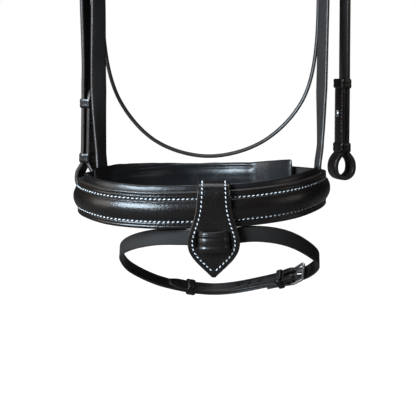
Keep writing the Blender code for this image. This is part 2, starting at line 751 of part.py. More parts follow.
def noseband():
    left_hang = hang("left")
    right_hang = hang("right")
    left_end = RING.nearest(RING_X - 73.0, RING_Y + 48.0)
    right_end = RING.nearest(RING_X + 76.0, RING_Y + 44.0)
    raise_at = [(-1.0, 0.0), (-0.60, 0.0), (-0.52, 0.35), (-0.30, 0.88), (0.0, 1.0), (0.30, 0.88),
                (0.52, 0.35), (0.60, 0.0), (1.0, 0.0)]
    rows = []
    for s in ring_stations(left_end, right_end):
        ends = min(1.0, min(s - left_end, right_end - s) / 90.0)
        half = band_half(s)
        lift = SWELL * math.sin(ends * math.pi / 2)
        rows.append([RING(s, -BAND_LEATHER / 2 + lift * rise, half * w) for w, rise in raise_at])
    sheet("noseband_leather", rows, BAND_LEATHER, "leather_black", edge=0.0)
    inner = BAND_LEATHER + GAP + BACKING / 2
    rows = []
    for s in ring_stations(left_end - 4.0, right_end + 4.0):
        rows.append([RING(s, -inner, -band_half(s)), RING(s, -inner, band_half(s))])
    sheet("noseband_backing", rows, BACKING, "leather_black", edge=0.4)
    core_low = -BAND_LEATHER + 0.1
    core_high = SWELL - BAND_LEATHER - 1.0
    pad("noseband_swell_core", RING, ring_stations(left_end + 62.0, right_end - 62.0),
        (core_low + core_high) / 2, (core_high - core_low) / 2, lambda s: band_half(s) * 0.40,
        "leather_soft")
    lining_middle = BAND_LEATHER + GAP + BACKING + GAP + LINING / 2
    pad("noseband_lining", RING, ring_stations(left_hang + 12.0, right_hang - 12.0), -lining_middle,
        LINING / 2, lambda s: band_half(s) + 3.0, "leather_soft", rise=2.0)
    return rear(left_end, right_end, left_hang)


def rear(left_end, right_end, left_hang):
    bar = RING.nearest(RING_X - 14.0, RING_Y + 79.0)
    layer = flat_layer(REAR_LEATHER)
    sink = layer + REAR_LEATHER / 2 - 0.5
    place = lambda s, h, w: RING(bar + s, h - sink, w)
    over = over_strap(REAR_LEATHER, REAR_LEATHER)
    strap = ribbon("noseband_rear_strap", place, folded_end(REAR_LEATHER, 26.0)
                   + [(left_end - bar - 0.6, layer)], REAR_WIDTH, REAR_LEATHER, "leather_black")
    start = right_end - bar - RING.total + 0.6
    path = [(start, layer), (-40.0, layer), (-28.0, under_front(REAR_LEATHER))]
    path += billet_over(REAR_LEATHER, REAR_LEATHER) + [(52.0, over)]
    billet = ribbon("noseband_rear_billet", place, path, REAR_WIDTH - 0.8, REAR_LEATHER, "leather_black",
                    tip=(False, True))
    for hole in (-30.0, 26.0):
        punch(billet, place, hole, over if hole > 0 else layer - 1.5, 1.8)
    buckle("noseband", place, REAR_WIDTH, strap, billet)
    top = over + REAR_LEATHER / 2
    keeper("noseband_keeper", place, 19.0, 7.0, -layer - REAR_LEATHER / 2, top, REAR_WIDTH)
    slack = layer - REAR_LEATHER / 2 - RUNNER_SLACK
    keeper("noseband_runner", place, 38.0, 7.0, slack, top + RUNNER_SLACK, REAR_WIDTH)
    pad_start = RING.nearest(RING_X + 72.0, RING_Y + 50.0)
    pad_end = RING.total + left_hang - 12.0
    inside = sink + layer + REAR_LEATHER / 2 + 2 * GAP + KEEPER_LEATHER + 3.0
    pad("chin_pad", RING, ring_stations(pad_start, pad_end), -inside, 3.0, lambda s: 16.4,
        "leather_inner")
    return place


def browband():
    start = -BROWBAND.zero + 0.5
    ribbon("browband_strap", BROWBAND, [(start, 0.0), (-start, 0.0)], 22.0, 2.6, "leather_black",
           edge=0.0)
    edge = BROWBAND.nearest(104.0, -50.0)
    pad("browband_lining", BROWBAND, even(-abs(edge), abs(edge), 20), browband_side() * 3.9, 2.3,
        lambda s: 12.0, "leather_soft")


# Which way is towards the horse on the browband's track.
def browband_side():
    middle = BROWBAND(0.0, 0.0, 0.0)
    return 1.0 if BROWBAND(0.0, 1.0, 0.0).y > middle.y else -1.0


def flash():
    tab()
    bar = FLASH.nearest(69.0, RING_Y + 15.0)
    if bar < 0:
        bar += FLASH.total
    place = lambda s, h, w: FLASH(bar + s, -h, w)
    around = FLASH.total
    over = over_strap(FLASH_LEATHER, FLASH_LEATHER)
    front = around - bar + FLASH.nearest(TAB_X, RING_Y - 77.5)
    proud = 13.0
    path = folded_end(FLASH_LEATHER, 24.0)
    path += [(130.0, flat_layer(FLASH_LEATHER)), (170.0, 0.0)]
    weave = [(20.5, 0.2), (16.0, -1.6), (11.4, 1.6 - proud), (9.0, -proud)]
    path += [(front - s, h) for s, h in weave] + [(front + s, h) for s, h in reversed(weave)]
    path += [(around - 60.0, 0.0)]
    path += [(around - 35.0, under_front(FLASH_LEATHER))]
    path += [(around + s, h) for s, h in billet_over(FLASH_LEATHER, FLASH_LEATHER)]
    path += [(around + 115.0, over)]
    strap = ribbon("flash_strap", place, path, FLASH_WIDTH, FLASH_LEATHER, "leather_black", step=11.5,
                   tip=(False, True))
    for hole in (30.0, 40.0, 50.0):
        punch(strap, place, hole, over, 1.5, depth=FLASH_LEATHER + 0.3)
    buckle("flash", place, FLASH_WIDTH, strap, strap)
    top = over + FLASH_LEATHER / 2
    layer = flat_layer(FLASH_LEATHER)
    keeper("flash_keeper", place, 11.0, 5.0, -layer - FLASH_LEATHER / 2 - 0.5, top + 0.9, FLASH_WIDTH)
    slack = layer - FLASH_LEATHER / 2 - RUNNER_SLACK
    keeper("flash_runner", place, FLASH_RUNNER, 8.0, slack, top + RUNNER_SLACK, FLASH_WIDTH)
    skin = FLASH_LEATHER / 2 + 0.3
    keeper("flash_loop", place, front, 16.6, -proud - skin, -proud + skin, FLASH_WIDTH, leather=1.2)
    return place


# The tab hangs over the noseband's top edge: a back layer, the turn over the top, and a front layer
# that widens below and ends in a point.
def tab():
    front = RING_Y - 80.0
    run = [(9.8, -496.5, 9.0), (11.2, -489.0, 12.0), (17.5, -482.0, 12.5), (21.8, -474.0, 12.8),
           (22.2, -465.0, 13.0), (21.8, -450.0, 13.0), (21.5, -436.0, 13.0), (20.4, -430.4, 13.1),
           (16.5, -427.8, 13.2), (11.0, -427.8, 13.2), (5.0, -429.4, 13.2), (2.0, -433.5, 13.3),
           (0.9, -440.0, 13.6), (0.7, -449.0, 14.4), (1.0, -458.0, 16.6), (1.6, -466.0, 19.2),
           (2.4, -474.0, 21.0), (3.2, -482.0, 20.2), (4.0, -489.0, 16.4), (4.6, -495.5, 10.4),
           (5.0, -500.5, 5.2), (5.2, -504.0, 1.6)]
    rows = []
    for out, z, half in run:
        y = front + out - 6.9
        rows.append([Vector((TAB_X + half * share, y, z)) for share in (-1.0, 0.0, 1.0)])
    obj = sheet("flash_tab", rows, TAB_LEATHER, "leather_black", edge=0.5)
    place = lambda s, h, w: Vector((TAB_X + w, front - 4.5 + h, s))
    for side in (-1.0, 1.0):
        offset = lambda s, h, w, side=side: place(s, h, w + side * 13.2)
        punch(obj, offset, -472.9, 0.0, 3.3, length=11.2, depth=8.0)


# An empty on a joint's axis carries the pieces that turn or slide there.
def body(name, point, pieces, carrier=None):
    empty = bpy.data.objects.new(name, None)
    empty.empty_display_size = 0.01
    PARTS.objects.link(empty)
    empty.location = point * MM
    if carrier:
        empty.parent = carrier
        empty.location -= carrier_place(carrier)
    for piece in pieces:
        obj = bpy.data.objects[piece]
        obj.parent = empty
        obj.location = -point * MM
    return empty


def carrier_place(empty):
    place = empty.location.copy()
    while empty.parent:
        empty = empty.parent
        place += empty.location
    return place


# Tongue and runner of one buckle, on the body that carries the buckle.
def small_bodies(prefix, place, runner_at, carrier=None):
    body(f"{prefix}_tongue_pivot", place(0.0, 0.0, 0.0), [f"{prefix}_tongue"], carrier)
    body(f"{prefix}_runner_slide", place(runner_at, 0.0, 0.0), [f"{prefix}_runner"], carrier)


# Where a strap bends above its buckle, as a point on the strap's own track.
def bend_of(place):
    return place(-FRAME_LENGTH - BEND_ROOM - SEAM / 2, under_front(BILLET_LEATHER), 0.0)


def bodies(cheek_places, throat_places, slip_place, rear_place, flash_place):
    for name, place in cheek_places.items():
        pieces = [f"cheekpiece_{name}", f"cheek_billet_{name}"]
        pieces += [f"cheek_{name}_{part}" for part in
                   ("buckle", "keeper", "lower_keeper", "upper_keeper", "hook_stud")]
        carrier = body(f"cheek_{name}_bend", bend_of(place), pieces)
        small_bodies(f"cheek_{name}", place, 44.0, carrier)
    middle = sum((bend_of(place) for place in throat_places.values()), Vector()) / 2
    pieces = ["throatlash_strap"]
    for name in throat_places:
        pieces += [f"throat_billet_{name}", f"throat_{name}_buckle", f"throat_{name}_keeper"]
    carrier = body("throatlash_bend", middle, pieces)
    for name, place in throat_places.items():
        small_bodies(f"throat_{name}", place, 43.0, carrier)
    small_bodies("sliphead", slip_place, 34.0)
    body("browband_slide", BROWBAND(0.0), ["browband_strap", "browband_lining"])
    hangs = (RING(hang("left")) + RING(hang("right"))) / 2
    pieces = [f"noseband_{part}" for part in
              ("leather", "backing", "swell_core", "lining", "rear_strap", "rear_billet", "buckle",
               "keeper")]
    ring = body("noseband_hang", Vector((0.0, hangs.y, hangs.z)), pieces + ["chin_pad", "flash_tab"])
    small_bodies("noseband", rear_place, 38.0, ring)
    pieces = ["flash_strap", "flash_buckle", "flash_keeper", "flash_loop"]
    pivot = Vector((TAB_X, RING_Y - 84.0, -473.5))
    loop = body("flash_pivot", pivot, pieces, ring)
    small_bodies("flash", flash_place, FLASH_RUNNER, loop)


crown()
cheeks = {side: cheekpiece(side) for side in SIDES}
throats = throatlash()
slip = sliphead()
browband()
rear_buckle = noseband()
flash_place = flash()
bodies(cheeks, throats, slip, rear_buckle, flash_place)
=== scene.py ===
# Horse bridle, dressed: fine leather straps, padded linings, sewing and steel round the fixed frame.
# Lengths below are millimetres, turned into metres by mm when a mesh is made.
import bisect
import math
import random

import bmesh
import bpy
from mathutils import Matrix, Vector, noise


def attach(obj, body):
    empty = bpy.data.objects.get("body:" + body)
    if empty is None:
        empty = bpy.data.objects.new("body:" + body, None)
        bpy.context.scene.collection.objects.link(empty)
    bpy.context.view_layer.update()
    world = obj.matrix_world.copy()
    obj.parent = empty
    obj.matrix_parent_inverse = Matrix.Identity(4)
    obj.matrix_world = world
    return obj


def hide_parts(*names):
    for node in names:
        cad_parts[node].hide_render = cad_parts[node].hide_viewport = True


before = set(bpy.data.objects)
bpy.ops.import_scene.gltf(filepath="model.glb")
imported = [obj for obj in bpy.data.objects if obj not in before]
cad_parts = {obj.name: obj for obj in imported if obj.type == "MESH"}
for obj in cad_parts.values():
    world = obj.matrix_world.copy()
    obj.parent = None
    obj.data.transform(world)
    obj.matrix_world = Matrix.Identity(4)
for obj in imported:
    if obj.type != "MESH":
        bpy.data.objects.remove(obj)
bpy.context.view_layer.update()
noise.seed_set(7)  # keeps the padded pieces' unevenness the same in every run
mm = 0.001
gap = 0.3  # between two layers of leather
sides = {"left": -1.0, "right": 1.0}
print("frame loaded:", len(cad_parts), "nodes")


# Shader maths: a wrapped socket, so that sums read as sums
class Flow:
    def __init__(self, tree, socket):
        self.tree = tree
        self.socket = socket

    def maths(self, operation, first, second):
        node = self.tree.nodes.new("ShaderNodeMath")
        node.operation = operation
        for place, value in zip(node.inputs, (first, second)):
            joinTo(self.tree, value, place)
        return Flow(self.tree, node.outputs[0])

    def __add__(self, other):
        return self.maths("ADD", self, other)

    def __radd__(self, other):
        return self.maths("ADD", other, self)

    def __sub__(self, other):
        return self.maths("SUBTRACT", self, other)

    def __rsub__(self, other):
        return self.maths("SUBTRACT", other, self)

    def __mul__(self, other):
        return self.maths("MULTIPLY", self, other)

    def __rmul__(self, other):
        return self.maths("MULTIPLY", other, self)


def joinTo(tree, value, socket):
    if isinstance(value, Flow):
        tree.links.new(value.socket, socket)
    else:
        socket.default_value = value


class Finish:
    def __init__(self, name):
        self.material = bpy.data.materials.new(name)
        self.material.use_nodes = True
        self.tree = self.material.node_tree
        self.shader = self.tree.nodes["Principled BSDF"]

    def add(self, kind, settings, sockets, output=0):
        node = self.tree.nodes.new("ShaderNode" + kind)
        for name, value in settings.items():
            if name == "stops":
                fillRamp(node.color_ramp, value)
            else:
                setattr(node, name, value)
        for key, value in sockets.items():
            joinTo(self.tree, value, node.inputs[key])
        return Flow(self.tree, node.outputs[output])

    def place(self):
        return self.add("TexCoord", {}, {}, "Object")

    def spots(self, scale, detail=2.0, rough=0.5):
        return self.add("TexNoise", {}, {"Vector": self.place(), "Scale": scale, "Detail": detail,
                                         "Roughness": rough})

    def cells(self, scale):
        return self.add("TexVoronoi", {"feature": "SMOOTH_F1"},
                        {"Vector": self.place(), "Scale": scale, "Smoothness": 0.35})

    def ramp(self, factor, stops):
        return self.add("ValToRGB", {"stops": stops}, {"Fac": factor})

    def bump(self, height, strength, distance, under=None):
        sockets = {"Height": height, "Strength": strength, "Distance": distance}
        if under:
            sockets["Normal"] = under
        return self.add("Bump", {}, sockets)

    def wear(self, **values):
        for name, value in values.items():
            joinTo(self.tree, value, self.shader.inputs[name.replace("_", " ")])


def fillRamp(ramp, stops):
    while len(ramp.elements) < len(stops):
        ramp.elements.new(0.5)
    for element, (place, colour) in zip(ramp.elements, stops):
        element.position = place
        element.color = (*colour, 1.0)


# Leathers: the grain is about half a millimetre, with slow changes of sheen over some centimetres
leathers = {
    "bridleLeather": {"dark": (0.0042, 0.0028, 0.0024), "light": (0.0100, 0.0070, 0.0058),
                      "roughness": 0.238, "cell": 1300.0, "grain": 0.65, "crease": 0.16, "coat": 0.15},
    "softLeather": {"dark": (0.0040, 0.0036, 0.0040), "light": (0.0095, 0.0083, 0.0082),
                    "roughness": 0.31, "cell": 1100.0, "grain": 0.55, "crease": 0.40, "coat": 0.15},
    "liningLeather": {"dark": (0.0050, 0.0052, 0.0060), "light": (0.012, 0.0122, 0.0135),
                      "roughness": 0.32, "cell": 1250.0, "grain": 0.45, "crease": 0.45, "coat": 0.15},
    "fleshSide": {"dark": (0.009, 0.008, 0.007), "light": (0.018, 0.015, 0.014),
                  "roughness": 0.72, "cell": 2200.0, "grain": 0.70, "crease": 0.15, "coat": 0.0},
    "dressedEdge": {"dark": (0.014, 0.0095, 0.0075), "light": (0.034, 0.0235, 0.0185),
                    "roughness": 0.34, "cell": 2600.0, "grain": 0.25, "crease": 0.05, "coat": 0.20},
}
grainLook = {"pores": 0.8, "slow": 34.0, "folds": 150.0, "dimples": 520.0, "mottle": 0.75,
             "foldDeep": 0.0006, "dimpleDeep": 0.00035, "grainDeep": 0.00012, "coatRoughness": 0.24}


def leather(name):
    look = leathers[name]
    finish = Finish(name)
    pebbles = finish.cells(look["cell"])
    pores = finish.spots(look["cell"] * grainLook["pores"], 3.0)
    slow = finish.spots(grainLook["slow"], 3.0)
    folds = finish.spots(grainLook["folds"], 4.0, 0.6)
    dimples = finish.spots(grainLook["dimples"])
    tone = finish.ramp(slow * 0.65 + pores * 0.35, [(0.30, look["dark"]), (0.72, look["light"])])
    rough = look["roughness"] - 0.05 + slow * 0.12 + pores * 0.06
    creased = finish.bump(folds, look["crease"], grainLook["foldDeep"])
    mottled = finish.bump(dimples, look["grain"] * grainLook["mottle"], grainLook["dimpleDeep"], creased)
    grained = finish.bump(pebbles * 0.7 + pores * 0.3, look["grain"], grainLook["grainDeep"], mottled)
    finish.wear(Base_Color=tone, Roughness=rough, Normal=grained, Coat_Weight=look["coat"],
                Coat_Roughness=grainLook["coatRoughness"], IOR=1.5)
    return finish.material


# shadedThread is the pale thread made darker and bluer, with the shade where the right cheek's bit
# stitches lie painted into its colour: painted shade
threads = {"paleThread": ((0.66, 0.68, 0.71), (0.86, 0.87, 0.88)),
           "blackThread": ((0.018, 0.017, 0.018), (0.045, 0.043, 0.045)),
           "shadedThread": ((0.16, 0.20, 0.26), (0.30, 0.36, 0.44))}


def thread(name):
    finish = Finish(name)
    fibres = finish.spots(5200.0)
    tone = finish.ramp(fibres, list(zip((0.3, 0.7), threads[name])))
    finish.wear(Base_Color=tone, Roughness=0.62, Normal=finish.bump(fibres, 0.6, 0.00015),
                Sheen_Weight=0.15)
    return finish.material


def polishedSteel():
    finish = Finish("polishedSteel")
    smear = finish.spots(90.0, 3.0)
    hair = finish.spots(2400.0)
    tone = finish.ramp(smear, [(0.3, (0.60, 0.60, 0.61)), (0.7, (0.72, 0.72, 0.73))])
    finish.wear(Base_Color=tone, Metallic=1.0, Roughness=0.27 + smear * 0.14,
                Normal=finish.bump(hair, 0.08, 0.00005))
    return finish.material


looks = {name: leather(name) for name in leathers}
looks.update({name: thread(name) for name in threads})
looks["steel"] = polishedSteel()
slots = {"bridleLeather": "leather_black", "softLeather": "leather_soft",
         "liningLeather": "leather_inner", "steel": "steel"}
print("materials made")


# Smooth run between points: the same rounding for centre lines and for strap paths
def eased(before, start, end, after, part):
    span = (end - start).length
    left = (start - before).length
    right = (after - end).length
    leave = (end - before) * (span / (left + span)) if left > 1e-5 else (end - start)
    arrive = (after - start) * (span / (right + span)) if right > 1e-5 else (end - start)
    squared = part * part
    cubed = squared * part
    spot = start * (2 * cubed - 3 * squared + 1) + end * (3 * squared - 2 * cubed)
    return spot + leave * (cubed - 2 * squared + part) + arrive * (cubed - squared)


# The same between all of the knots, in as many pieces each time as pieces() says for the length
def easedRun(knots, pieces):
    run = [knots[0]]
    for index in range(len(knots) - 1):
        near = [knots[max(0, min(len(knots) - 1, index + k))] for k in (-1, 0, 1, 2)]
        count = pieces((near[2] - near[1]).length)
        run += [eased(*near, k / count) for k in range(1, count + 1)]
    return run


# Lengths from the start to each of the spots
def reachOf(spots):
    reach = [0.0]
    for first, second in zip(spots, spots[1:]):
        reach.append(reach[-1] + (second - first).length)
    return reach


# The way along a row of spots, at each of them
def waysAlong(spots, closed=False):
    last = len(spots) - 1
    if closed:
        return [(spots[(k + 1) % len(spots)] - spots[k - 1]).normalized() for k in range(last + 1)]
    return [(spots[min(k + 1, last)] - spots[max(k - 1, 0)]).normalized() for k in range(last + 1)]


def kindsOf(section):
    return [kind for w, h, kind in section]


# A strap's centre line. s runs along it, h stands off its outer side, w goes across the strap
class Course:
    fine = 10

    def __init__(self, knots, across, zero=0, closed=False):
        self.closed = closed
        self.knots = [Vector(knot) for knot in knots]
        self.across = [Vector(side) for side in across]
        self.spans = len(knots) if closed else len(knots) - 1
        self.points = [self.at(k / self.fine) for k in range(self.spans * self.fine + 1)]
        self.lengths = reachOf(self.points)
        self.total = self.lengths[-1]
        self.zero = self.lengths[min(zero * self.fine, len(self.lengths) - 1)]

    def pick(self, values, index):
        if self.closed:
            return values[index % len(values)]
        return values[max(0, min(len(values) - 1, index))]

    def at(self, turn):
        index = max(0, min(self.spans - 1, math.floor(turn)))
        near = [self.pick(self.knots, index + k) for k in (-1, 0, 1, 2)]
        return eased(*near, turn - index)

    def frame(self, s):
        place = s + self.zero
        if self.closed:
            place %= self.total
        index = bisect.bisect_right(self.lengths, place) - 1
        index = max(0, min(len(self.points) - 2, index))
        step = self.lengths[index + 1] - self.lengths[index]
        turn = (index + (place - self.lengths[index]) / step) / self.fine
        ahead, behind = turn + 0.01, turn - 0.01
        if self.closed:
            ahead, behind = ahead % self.spans, behind % self.spans
        tangent = (self.at(ahead) - self.at(behind)).normalized()
        knot = max(0, min(self.spans - 1, math.floor(turn)))
        side = self.pick(self.across, knot).lerp(self.pick(self.across, knot + 1), turn - knot)
        side = (side - tangent * side.dot(tangent)).normalized()
        return self.at(turn), tangent, side

    def __call__(self, s, h=0.0, w=0.0):
        spot, tangent, side = self.frame(s)
        return spot + tangent.cross(side) * h + side * w

    def nearest(self, x, y):
        best = min(range(len(self.points)), key=lambda k: (self.points[k].xy - Vector((x, y))).length)
        s = self.lengths[best] - self.zero
        return s - self.total if self.closed and s > self.total / 2 else s


def heightOn(course, side, height):
    low, high = 60.0, course.total / 2
    for attempt in range(40):
        middle = (low + high) / 2
        if course(side * middle).z > height:
            low = middle
        else:
            high = middle
    return low


def along(course, side, start):
    return lambda s, h, w: course(side * (start + s), h, w)


def smooth(share):
    return share * share * (3 - 2 * share)


# A hump one high at the middle, about twice its width across
def hump(distance, width):
    return math.exp(-(distance / width) ** 2)


# Stations a whole step apart, and stations at even steps that reach the end
def stepped(start, end, step):
    return [start + step * k for k in range(int((end - start) / step) + 1)]


def evenly(start, end, step):
    count = int((end - start) / step)
    return [start + (end - start) * k / count for k in range(count + 1)]


def circlePoints(count):
    angles = [2 * math.pi * (k + 0.5) / count for k in range(count)]
    return [(math.cos(angle), math.sin(angle)) for angle in angles]


def arc(radius, degrees):
    turns = [math.radians(angle) for angle in degrees]
    return [(radius * math.cos(turn), radius * math.sin(turn)) for turn in turns]


def softPower(value, power=0.72):
    return math.copysign(abs(value) ** power, value)


# Leather thicknesses, strap widths and buckle sizes, as on the frame's own parts
sizes = {"cheekWidth": 16.0, "cheek": 3.4, "billet": 2.8, "throatWidth": 12.0, "throat": 2.6,
         "slipWidth": 16.0, "slip": 2.6, "flashWidth": 12.4, "flash": 2.0, "rearWidth": 20.0,
         "rear": 2.8, "keeper": 1.3, "loopCorner": 2.2, "tab": 2.8, "wire": 1.25, "prong": 0.8,
         "frameLength": 14.0, "frameLift": 2.2, "padThick": 3.9, "bandHalf": 15.0, "bandSideHalf": 13.5,
         "band": 2.4, "backing": 1.8, "swell": 4.0, "lining": 5.0, "bendRoom": 4.0, "runnerSlack": 0.35}
places = {"cheekDepth": -9.0, "throatDepth": 11.0, "buckleHeight": -200.0, "crownReach": 135.0,
          "cheekBottom": {"left": -446.0, "right": -437.0}, "cheekOut": {"left": 110.0, "right": 113.0},
          "cheekLean": {"left": (0.0, 1.5, 3.0, 1.0), "right": (0.0, 0.0, 0.0, 0.0)},
          "ringX": -9.0, "ringY": -47.0, "tabX": 1.0, "twist": 22.0, "crownStep": 11.25}
slipDrop = sizes["billet"] / 2 + sizes["slip"] / 2 + 0.7
padDrop = slipDrop + sizes["slip"] / 2 + 0.6 + sizes["padThick"]
crownTop = padDrop + sizes["padThick"]
crownX = (0.0, 13.0, 30.0, 48.0, 66.0, 81.0, 92.0)
crownZ = (crownTop, crownTop, 12.0, 3.5, -13.0, -36.0, -65.0)


def turnedAbout(degrees, side):
    angle = math.radians(degrees)
    return (-side * math.sin(angle), math.cos(angle), 0.0)


def cheekCourse():
    depth = places["cheekDepth"]
    knots = {}
    across = {}
    for name, side in sides.items():
        out = places["cheekOut"][name]
        run = [(side * x, depth, z) for x, z in zip(crownX[1:], crownZ[1:])]
        run += [(side * (out - 6), depth, -102.0), (side * (out - 1), depth, -155.0)]
        heights = (-205.0, -280.0, -360.0, places["cheekBottom"][name])
        run += [(side * (out - lean), depth, z) for lean, z in zip(places["cheekLean"][name], heights)]
        knots[name] = run
        across[name] = [turnedAbout(a, side) for a in (0, 0, 0, 1, 3, 6, 11, 18) + (places["twist"],) * 4]
    return Course(knots["left"][::-1] + [(0.0, depth, crownTop)] + knots["right"],
                  across["left"][::-1] + [(0.0, 1.0, 0.0)] + across["right"], zero=12)


def throatCourse():
    depth = places["throatDepth"]
    knots = [(0.0, depth, crownTop)]
    crown = list(zip(crownX[1:], crownZ[1:]))
    right = crown + [(100.0, -102.0), (98.0, -155.0), (92.0, -225.0)]
    left = crown + [(100.0, -102.0), (100.0, -155.0), (97.5, -225.0)]
    low = [(89.5, -324.0), (77.0, -370.0), (43.2, -404.0), (-3.6, -416.5), (-49.0, -403.5),
           (-80.0, -369.0), (-92.8, -324.0)]
    knots += [(x, depth, z) for x, z in right + low]
    knots += [(-x, depth, z) for x, z in reversed(left)]
    return Course(knots, [(0.0, 1.0, 0.0)] * len(knots), closed=True)


def crownLayer(drop, count):
    return [tuple(cheeks(places["crownStep"] * k, -drop, -places["cheekDepth"]))
            for k in range(-count, count + 1)]


def ringCourse():
    half = [(40, -77), (76, -63), (97.4, -38), (104.6, -10), (97, 13), (83.5, 36), (62, 58), (32, 74)]
    outline = [(0, -80)] + half + [(0, 79)] + [(-x, y) for x, y in reversed(half)]
    knots = []
    for x, y in outline:
        dip = 8.6 * max(0.0, -y / 80.0) ** 2
        knots.append((x + places["ringX"], y + places["ringY"], -441.4 + 0.033 * x - dip))
    return Course(knots, [(0.0, 0.0, 1.0)] * len(knots), closed=True)


def hang(name):
    return ring.nearest(-100.5, -26.0) if name == "left" else ring.nearest(95.6, -52.0)


def slipCourse():
    tuck = sizes["band"] + gap + sizes["backing"] + gap + sizes["slip"] / 2 + 1.3
    rimAt = sizes["bandSideHalf"] + 3.0
    start = [ring(hang("left"), -tuck, w) for w in (-7.0, rimAt)]
    end = [ring(hang("right"), 1.1 - tuck, w) for w in (rimAt, -7.0)]
    crown = crownLayer(slipDrop, 10)
    knots = start + [(-95.8, -25.5, -412.0), (-97.8, -20.5, -358.0), (-97.5, -15.0, -290.0),
                     (-97.0, -10.0, -225.0), (-98.5, -5.0, -165.0)]
    knots += crown + [(100.5, -5.0, -165.0), (97.3, -15.0, -225.0), (95.0, -26.0, -290.0),
                      (92.9, -39.0, -358.0), (91.5, -47.5, -402.0)] + end
    across = [ring.frame(hang("left"))[1] * -1.0] * 2
    across += [turnedAbout(angle, -1) for angle in (26, 50, 44, 30, 12)]
    across += [turnedAbout(0, -1)] * len(crown)
    across += [turnedAbout(angle, 1) for angle in (12, 22, 26, 26, 10)]
    across += [ring.frame(hang("right"))[1]] * 2
    return Course(knots, across, zero=7 + len(crown) // 2)


def flashCourse():
    rows = [(1, -77.5, -472.9, 0), (34, -73, -470.1, 2), (60, -60, -475.2, 8), (81, -37, -488.5, 18),
            (89.5, -12, -501.5, 32), (80, 9, -514.5, 46), (50, 25, -526.2, 60), (2, 34, -535.2, 64),
            (-43, 25, -526.5, 60), (-70, 6, -510, 60), (-77.5, -17, -493.5, 56), (-69, -44, -482, 27),
            (-48, -66, -474, 6), (-25, -74.5, -472.5, 0)]
    knots = [(x, y + places["ringY"], z) for x, y, z, tilt in rows]
    across = [(0.0, math.sin(math.radians(tilt)), math.cos(math.radians(tilt))) for x, y, z, tilt in rows]
    return Course(knots, across, closed=True)


def browCourse():
    half = [(104.0, -35.0), (96.0, -25.0), (86.0, -10.0), (84.0, 8.0), (90.0, 22.0), (103.0, 26.0),
            (112.5, 18.0), (116.5, 2.0), (117.0, -15.0), (111.5, -34.0), (98.0, -64.0),
            (70.0, -92.0), (36.0, -106.0)]
    flat = half + [(0.0, -110.0)] + [(-x, y) for x, y in reversed(half)]
    knots = [(x, y, -120.0 - 9.0 * min(1.0, max(0.0, -y - 20.0) / 90.0)) for x, y in flat]
    return Course(knots, [(0.0, 0.0, 1.0)] * len(knots), zero=len(half))


cheeks = cheekCourse()
throat = throatCourse()
ring = ringCourse()
slip = slipCourse()
flash = flashCourse()
brow = browCourse()
print("centre lines laid")


def objectFrom(name, bm):
    mesh = bpy.data.meshes.new(name)
    bm.to_mesh(mesh)
    bm.free()
    made = bpy.data.objects.new(name, mesh)
    bpy.context.scene.collection.objects.link(made)
    return made


# A piece gets its mesh in metres, its finishes, its body and the nodes that it stands for
def makePiece(name, bm, finishes, body, stands=()):
    bmesh.ops.recalc_face_normals(bm, faces=bm.faces)
    if bm.calc_volume(signed=True) < 0:  # a thin ring can come out inside out
        bmesh.ops.reverse_faces(bm, faces=bm.faces)
    bmesh.ops.scale(bm, vec=(mm, mm, mm), verts=bm.verts)
    piece = objectFrom(name, bm)
    piece.data.shade_smooth()
    for finish in finishes:
        piece.data.materials.append(looks[finish])
    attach(piece, body)
    finishes[0] in slots
    if stands:
        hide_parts(*stands)
    return piece


# Rows of points become a skin: a grid whose columns close on themselves, with capped ends
def skin(bm, rows, kinds=None, closed=False, wrap=True, keep=None):
    spans = len(rows) if closed else len(rows) - 1
    columns = len(rows[0]) if wrap else len(rows[0]) - 1
    made = bmesh.ops.create_grid(bm, x_segments=spans, y_segments=columns, size=1.0)["verts"]
    cells = {}
    for vertex in made:
        across, up = (vertex.co.x + 1.0) / 2.0, (vertex.co.y + 1.0) / 2.0
        cells[vertex] = (round(across * spans), round(up * columns))
    spare = []
    for face in {face for vertex in made for face in vertex.link_faces}:
        row = min(cells[vertex][0] for vertex in face.verts)
        column = min(cells[vertex][1] for vertex in face.verts)
        if kinds:
            face.material_index = kinds[column]
        if keep and not keep(row, column):
            spare.append(face)
    if spare:
        bmesh.ops.delete(bm, geom=spare, context="FACES")
    for vertex, (row, column) in cells.items():
        vertex.co = rows[row % len(rows)][column % len(rows[0])]
    if wrap or closed:
        bmesh.ops.remove_doubles(bm, verts=made, dist=0.0005)
    if wrap and not closed:
        rims = [edge for edge in bm.edges if edge.is_boundary]
        bmesh.ops.holes_fill(bm, edges=rims, sides=0)
        for face in {face for edge in rims for face in edge.link_faces if len(face.verts) > 4}:
            face.material_index = 1 if kinds else 0


def skinPiece(name, rows, finishes, body, stands, kinds=None, closed=False):
    bm = bmesh.new()
    skin(bm, rows, kinds, closed)
    return makePiece(name, bm, finishes, body, stands)


strapFinishes = ("bridleLeather", "dressedEdge", "fleshSide")
strapLook = {"step": 2.4, "crease": 1.7, "crown": 0.12, "dip": 0.28, "waver": 0.08, "wavesAt": 0.035,
             "tipLength": 9.0, "tipBlunt": 0.35}


